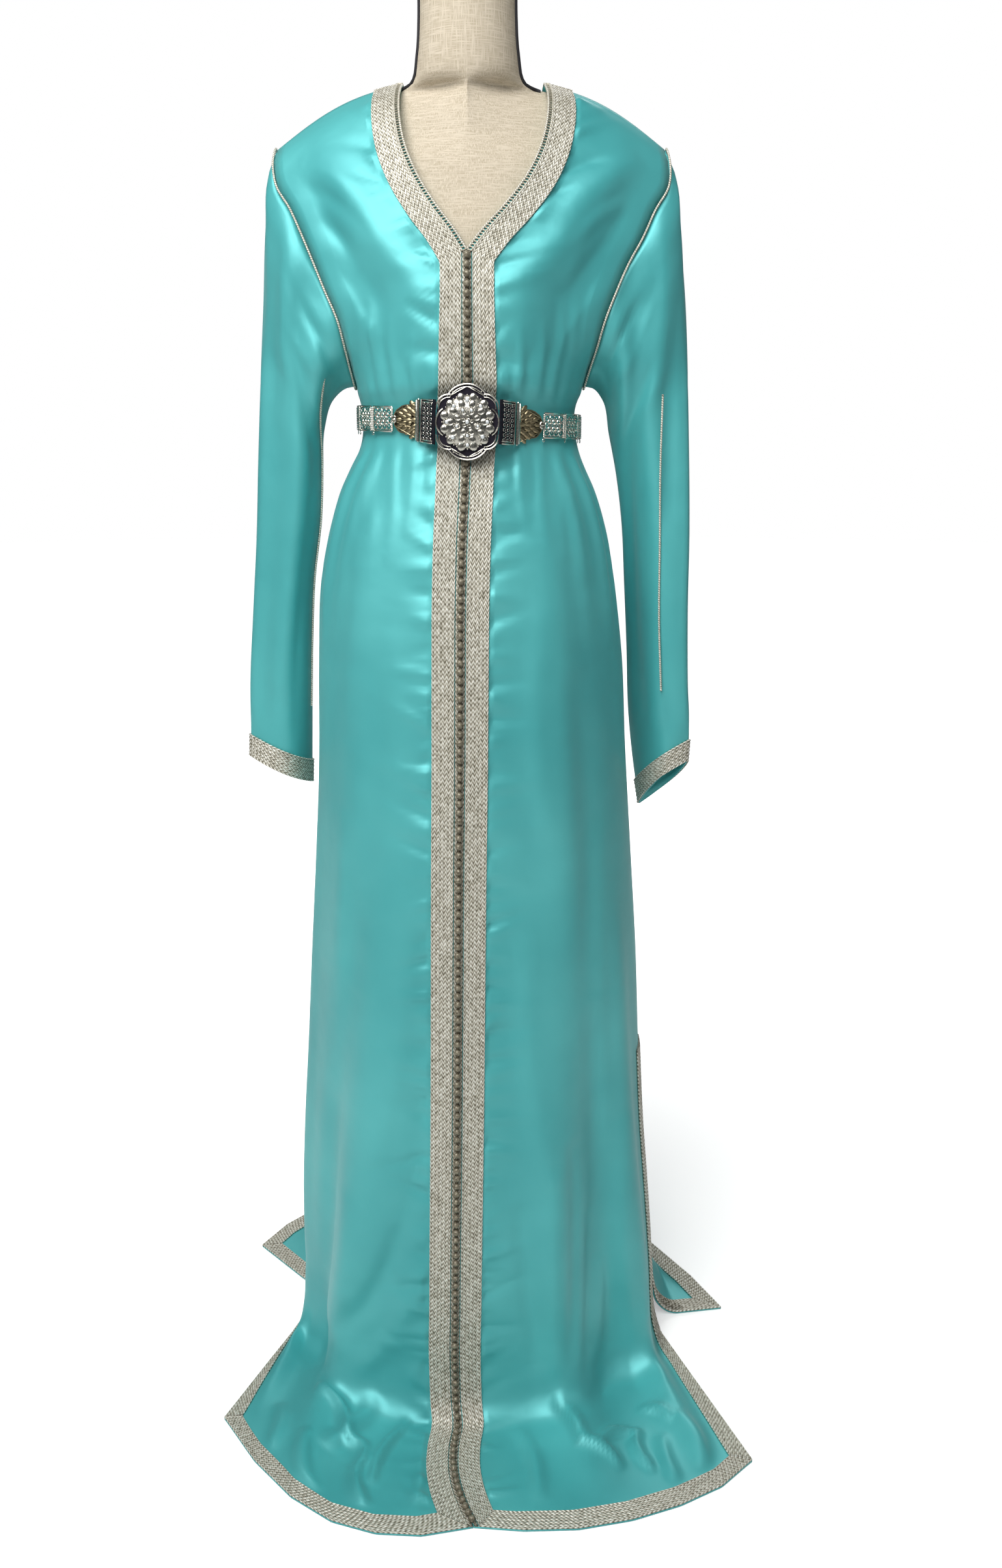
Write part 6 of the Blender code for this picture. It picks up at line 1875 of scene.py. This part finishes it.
def frame_of(name):
    """Where a flat solid of the belt stands: a matrix that stands up a flat part, and its sizes in mm."""
    points = np.unique(np.round([v.co for v in bpy.data.objects[name].data.vertices], 6), axis=0)
    centre = points.mean(axis=0)
    if name.startswith("buckle"):
        centre = (points.max(axis=0) + points.min(axis=0)) / 2
    axes = np.linalg.svd(points - points.mean(axis=0))[2]
    out = axes[2] * (1 if axes[2] @ [centre[0], centre[1], 0] > 0 else -1)
    up = axes[int(np.argmax(np.abs(axes[:2, 2])))]
    up = up * (1 if up[2] > 0 else -1)
    across = np.cross(up, out)
    spans = [np.ptp((points - centre) @ axis) / MM for axis in (across, up, out)]
    back = centre - out * spans[2] / 2 * MM
    stand = Matrix(np.column_stack([across, up, out, back]).tolist()).to_4x4()
    return stand, spans


def stand_up(name, parts, stand, slot, *nodes):
    """Joins parts into one piece and stands it at its place on the belt."""
    piece = join_pieces(name, parts)
    piece.data.transform(stand)
    belongs(piece, slot, *nodes)
    return piece


bead = turned_part([(0.55, 0.0), (0.95, 0.35), (0.85, 0.8), (0.4, 1.1)], 7, silver)
stone = turned_part([(1.0, 0.0), (1.0, 0.25), (0.62, 0.55)], 8, crystal)
collet = turned_part([(1.25, 0.0), (1.18, 0.30), (1.04, 0.34)], 12, silver)
petal = turned_part([(0.92, 0.0), (1.0, 0.16), (0.82, 0.34), (0.45, 0.44)], 12, silver)
print("bead faces", len(bead.data.polygons), "stone faces", len(stone.data.polygons))

# %% The buckle's ground and its lobed rim
stand, (wide, tall, _) = frame_of("buckle_plate")


def buckle_outline(turn):
    """An oval with six shallow lobes."""
    lobe = 0.955 + 0.045 * abs(math.cos(2.5 * (turn - math.pi / 2) * 1.2)) ** 0.6
    return (math.cos(turn) * wide / 2 * 0.985 * lobe, math.sin(turn) * tall / 2 * 0.985 * lobe)


ground = dished_plate(96, buckle_outline, 1.5, 1.1, 0.6, hollow_silver)
ground.name = "buckle_ground"
ground.data.transform(stand)
belongs(ground, "belt_silver", "buckle_plate")
rim = []
for radius, thick_wire, level in ((24.3, 0.8, 2.3), (21.4, 0.45, 2.1)):
    rim.append(arc_wire(0, 14.4, radius, 30, 150, thick_wire, level, silver, 18))
    rim.append(arc_wire(0, -14.4, radius, 210, 330, thick_wire, level, silver, 18))
for sx, sy, first in ((1, 1, 0), (-1, 1, 90), (-1, -1, 180), (1, -1, 270)):
    for radius, thick_wire, level in ((13.6, 0.75, 2.5), (10.6, 0.5, 2.3)):
        rim.append(arc_wire(sx * 19.5, sy * 14.5, radius, first - 8, first + 98, thick_wire, level, silver))
for sx in (1, -1):
    middle = 0 if sx > 0 else 180
    rim.append(arc_wire(sx * 17.5, 0, 15.8, middle - 58, middle + 58, 0.9, 2.2, silver, 14))
    for sy in (1, -1):
        rim.append(straight_wire(sx * 0.6, sy * 36.0, sx * 17.5, sy * 27.0, 0.5, 2.3, silver))
rim += copies(bead, [(x, sy * (28.8 + 5.6 * math.cos(x / 13)), 0.9, 0, 0.9, 0.9)
                     for sy in (1, -1) for x in (-15, -11.5, -8, -4.5, 4.5, 8, 11.5, 15)])
print("rim wires", len(rim))

# %% The rosette: petals, beads and stones on a dome
DOME_X, DOME_Y, DOME_HIGH = 27.0, 28.0, 8.2


def on_dome(radius, turn):
    """A place on the dome: share of its radius and turn in degrees, to x, y and height in mm."""
    x = DOME_X * radius * math.cos(math.radians(turn))
    y = DOME_Y * radius * math.sin(math.radians(turn))
    return x, y, 1.6 + DOME_HIGH * math.sqrt(max(0.0, 1 - (radius * 0.97) ** 2)) * 0.86


dome = turned_part([(1.0, 0.0), (0.985, 0.16), (0.90, 0.42), (0.74, 0.66), (0.52, 0.84), (0.26, 0.94),
                    (0.08, 0.97)], 32, silver)
dome.data.transform(Matrix.Translation((0, 0, 1.4 * MM)) @ Matrix.Diagonal((DOME_X, DOME_Y, 7.0, 1)))
rosette = []
for count, radius, wide_petal, long_petal, offset in ((12, 0.90, 4.6, 5.2, 15), (10, 0.66, 3.9, 4.8, 0),
                                                      (8, 0.40, 3.3, 4.0, 22), (5, 0.17, 2.2, 2.6, 10)):
    for k in range(count):
        turn = offset + 360 * k / count
        x, y, z = on_dome(radius, turn)
        rosette += copies(petal, [(x, y, z - 1.2, turn, wide_petal, long_petal)])
        rosette.append(ring_wire(x, y, wide_petal * 0.86, 0.42, z + 0.1, silver, 0.9))
STONES = ((0.80, 90, 1.9), (0.78, 132, 1.8), (0.80, 180, 1.9), (0.80, 224, 2.2), (0.84, 270, 1.8),
          (0.80, 318, 2.2), (0.78, 0, 1.9), (0.78, 48, 1.8), (0.46, 112, 1.5), (0.46, 68, 1.5),
          (0.44, 200, 1.4), (0.44, 340, 1.4), (0.50, 270, 1.6), (0.0, 0, 2.0))
stones = []
for radius, turn, size in STONES:
    x, y, z = on_dome(radius, turn)
    rosette += copies(collet, [(x, y, z + 0.3, 0, size, size)])
    stones += copies(stone, [(x, y, z + 0.8, 22, size, size)])
    rosette += copies(bead, [(x + (size + 1.5) * math.cos(math.radians(a)), y + (size + 1.5)
                              * math.sin(math.radians(a)), z + 0.1, 0, 0.8, 0.8) for a in range(0, 360, 45)])
rosette += copies(bead, [(*on_dome(0.99, 360 * k / 44), 0, 0.95, 0.95) for k in range(44)])
stand_up("buckle_rosette", rosette + rim, stand, "belt_silver", "buckle_dome")
stand_up("buckle_stones", stones, stand, "belt_silver")
stand_up("buckle_dome_ground", [dome], stand, "belt_silver")
print("stones", len(STONES))

# %% Wings and hinge barrels
for side, word in SIDES:
    stand, (wide, tall, _) = frame_of("wing_" + word)
    clear_selection()
    bpy.ops.mesh.primitive_cube_add(size=1, location=(-side * 1.2 * MM, 0, 0.7 * MM))
    bpy.context.object.scale = ((wide + 2.4) * MM, tall * MM, 1.4 * MM)
    bpy.ops.object.transform_apply(location=True, scale=True)
    bpy.ops.object.mode_set(mode="EDIT")
    bpy.ops.mesh.select_all(action="DESELECT")
    shape = bmesh.from_edit_mesh(bpy.context.object.data)
    for edge in shape.edges:
        edge.select = abs(edge.verts[0].co.z - edge.verts[1].co.z) > 0.5 * MM
    shape.select_flush_mode()
    bmesh.update_edit_mesh(bpy.context.object.data)
    bpy.ops.mesh.bevel(offset=4.2 * MM, segments=4)
    parts = [finish_part(hollow_silver)]
    half, high = wide / 2 - 0.9, tall / 2 - 0.9
    for sy in (1, -1):
        parts.append(straight_wire(-half, sy * high, half, sy * high, 0.9, 1.8, silver))
        parts.append(straight_wire(-half, sy * (high - 2.4), half, sy * (high - 2.4), 0.6, 1.7, silver))
    parts.append(straight_wire(side * half, -high, side * half, high, 0.9, 1.8, silver))
    for row in range(8):
        for column in range(3):
            x, y = (column - 1) * wide * 0.29, (row - 3.5) * tall * 0.112
            parts.append(ring_wire(x, y, 1.9, 0.42, 1.7 + 0.2 * ((row + column) % 2), silver, 0.85, 9))
    parts += copies(bead, [((column - 0.5) * wide * 0.29, (row - 3) * tall * 0.112, 1.2, 0, 0.7, 0.7)
                           for row in range(7) for column in range(2)])
    stand_up("buckle_wing_" + word, parts, stand, "belt_silver", "wing_" + word)
    stand, (_, tall, _) = frame_of("fan_" + word)
    knuckle = turned_part([(1.5, 0.0), (2.0, 0.3), (2.0, 8.2), (1.5, 8.5)], 10, silver)
    knuckle.data.transform(Matrix.Rotation(math.radians(-90), 4, "X"))
    low, high_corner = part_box("hinge_bar_" + word)
    at = (Vector(low) + Vector(high_corner)) / 2
    barrels = copies(knuckle, [(0, -21.8 + 8.75 * k, 0, 0, 1.0, 1.0) for k in range(5)])
    barrels += [straight_wire(0, -22.6, 0, 22.6, 1.2, 0.0, silver),
                straight_wire(side * 2.9, -21.0, side * 2.9, 21.0, 1.0, -0.6, silver)]
    turned = Matrix.Translation(at) @ stand.to_3x3().to_4x4()
    stand_up("hinge_barrels_" + word, barrels, turned, "belt_silver", "hinge_bar_" + word)
    bpy.data.objects.remove(knuckle)
print("wings and hinges done")

# %% Bronze leaves
LEAF_PAIRS = ((-9.5, 15.5, 52, 3.0, 5.6), (-4.5, 11.5, 40, 3.0, 5.8), (1.0, 9.0, 30, 2.8, 5.4),
              (6.5, 6.2, 22, 2.4, 4.8), (-10.0, 7.8, 38, 2.8, 5.2), (-4.0, 4.6, 26, 2.6, 5.0),
              (2.2, 3.2, 14, 2.3, 4.6))
LEAF_SPINE = ((-11.0, 0.0, 0, 2.4, 4.6), (-3.5, 0.0, 0, 2.0, 4.4), (8.5, 0.0, 0, 2.2, 4.6))


def leaf_outline(turn):
    """A fan that narrows away from the hinge, with small scallops, on the side at hand."""
    narrow = 0.5 + 0.5 * math.cos(turn) * side
    reach = (tall / 2 * (1 - narrow) + 9.4 * narrow) * 0.96 * (1 + 0.035 * math.sin(9 * turn))
    return (math.copysign(abs(math.cos(turn)) ** 0.6, math.cos(turn)) * wide / 2 * 0.98,
            math.copysign(abs(math.sin(turn)) ** 0.6, math.sin(turn)) * reach)


for side, word in SIDES:
    stand, (wide, tall, _) = frame_of("fan_" + word)
    parts = [dished_plate(40, leaf_outline, 1.7, 1.2, 0.5, bronze)]
    leaf = turned_part([(0.9, 0.0), (1.0, 0.12), (0.72, 0.30), (0.30, 0.42)], 10, bronze)
    parts += copies(leaf, [(side * x, sy * y, 1.1, sy * side * turn, size, long)
                           for sy in (1, -1) for x, y, turn, size, long in LEAF_PAIRS])
    parts += copies(leaf, [(side * x, y, 1.3, turn, size, long) for x, y, turn, size, long in LEAF_SPINE])
    for sy in (1, -1):
        parts.append(straight_wire(side * -13.0, sy * (tall / 2 - 4.0), side * 12.5, sy * 7.0, 0.55, 2.3,
                                   bronze))
        parts.append(straight_wire(side * -13.0, sy * 9.0, side * 12.5, sy * 2.2, 0.45, 2.1, bronze))
    parts.append(straight_wire(side * -13.0, 0, side * 13.0, 0, 0.5, 2.3, bronze))
    dots = copies(bead, [(side * -12.6, y, 1.4, 0, 0.9, 0.9) for y in range(-18, 19, 3)])
    for dot in dots:
        dot.data.materials.clear()
        dot.data.materials.append(bronze)
    bpy.data.objects.remove(leaf)
    stand_up("bronze_leaf_" + word, parts + dots, stand, "belt_bronze", "fan_" + word)
    clasp = [ring_wire(side * (wide / 2 - 1.6), 0, 2.6, 0.8, 3.0, silver, 1.3),
             straight_wire(side * (wide / 2 - 4), 0, side * (wide / 2 + 1.5), 0, 1.1, 2.6, silver)]
    stand_up("leaf_clasp_" + word, clasp, stand, "belt_silver")
print("leaves done")

# %% One openwork link, copied round the belt
_, (wide, tall, _) = frame_of("belt_link_01")
half, high = wide / 2 - 1.2, tall / 2 - 1.2
link = [straight_wire(-half, sy * high, half, sy * high, 1.1, 1.3, silver) for sy in (1, -1)]
link += [straight_wire(sx * half, -high, sx * half, high, 0.8, 1.2, silver) for sx in (1, -1)]
for column in range(4):
    for row in range(3):
        x, y = (column - 1.5) * 7.2, (row - 1) * 7.6
        link.append(ring_wire(x, y, 3.7, 0.80, 1.3 + 0.5 * ((row + column) % 2), silver, 0.95, 10))
for column in range(3):
    for row in range(2):
        link.append(ring_wire((column - 1) * 7.2, (row - 0.5) * 7.6, 3.0, 0.75, 2.1, silver, 1.0, 9))
link += copies(bead, [((column - 1.5) * 7.2, (row - 1) * 7.6, 1.2, 0, 1.0, 1.0)
                      for column in range(4) for row in range(3)])
coil = turned_part([(1.2, 0.0), (1.55, 0.5), (1.55, 1.1), (1.2, 1.6)], 8, silver)
coil.data.transform(Matrix.Rotation(math.radians(-90), 4, "X"))
link += copies(coil, [(sx * (wide / 2 - 0.9), -high + 1.9 * k, 1.4, 0, 1.0, 1.0)
                      for sx in (1, -1) for k in range(13)])
link += [ring_wire(-wide / 2 + 1.0, -tall / 2 - 1.8, 1.5, 0.42, 1.3, silver, 1.15, 10)]
model_link = join_pieces("link_model", link)
for number in range(1, 17):
    name = "belt_link_%02d" % number
    copy = copy_of(model_link, frame_of(name)[0])
    copy.name = "openwork_link_%02d" % number
    belongs(copy, "belt_silver", name)
print("link triangles", sum(len(p.vertices) - 2 for p in model_link.data.polygons))
for spare in (model_link, coil, bead, stone, collet, petal):
    bpy.data.objects.remove(spare)

# %% [markdown]
# ## Dress form and stand
# The form is padded and covered in linen, with black piping over the two seams at the neck. It is a
# smooth surface through the same flat ovals as the solid, and a little smaller than the cloth all round.
# %% The linen torso
FORM_SIDES = 64
FORM_STEP = 0.009             # metres between its fine rows
turn = 2 * math.pi * np.arange(FORM_SIDES) / FORM_SIDES
c, s = np.cos(turn), np.sin(turn)
form_rows = []
for z, half_x, half_y, mid_y, power in FORM:
    form_rows.append(np.column_stack([half_x * np.sign(c) * np.abs(c) ** (2 / power),
                                      mid_y + half_y * np.sign(s) * np.abs(s) ** (2 / power),
                                      np.full(FORM_SIDES, z)]))
form_fine, _ = smooth_between(np.array(form_rows), FORM_STEP)
torso = mesh_object("linen_torso", form_fine, tube_faces(len(form_fine), FORM_SIDES), linen,
                    change=weld_outward)
belongs(torso, "form_linen", "form_torso")
print("torso faces", len(torso.data.polygons))

# %% Black piping on the neck
PIPING = 0.0019               # radius of the piping
PIPING_OFF = 0.0006           # metres from its middle to the linen
PIPING_LOW, PIPING_HIGH = 1.505, 1.6195
for word, turn_at in (("left", 197), ("right", 343)):
    k = round(turn_at / 360 * FORM_SIDES) % FORM_SIDES
    chosen = (form_fine[:, k, 2] > PIPING_LOW) & (form_fine[:, k, 2] < PIPING_HIGH)
    path = form_fine[chosen, k]
    out = path.copy()
    out[:, 2] = 0
    cord_piece("neck_piping_" + word, path + unit(out) * PIPING_OFF, PIPING, piping_look, "form_linen",
               [], step=0.006)
print("piping of", len(path), "points")

# %% Finishes of the stand's own solids
for name, look in (("stand_base", steel), ("stand_pole", steel), ("neck_cap", wood)):
    node = bpy.data.objects[name]
    for slot in node.material_slots:
        slot.material = look
print("stand pieces dressed")

# %% [markdown]
# ## A loop over the two sides, which does nothing
for side, word in SIDES:
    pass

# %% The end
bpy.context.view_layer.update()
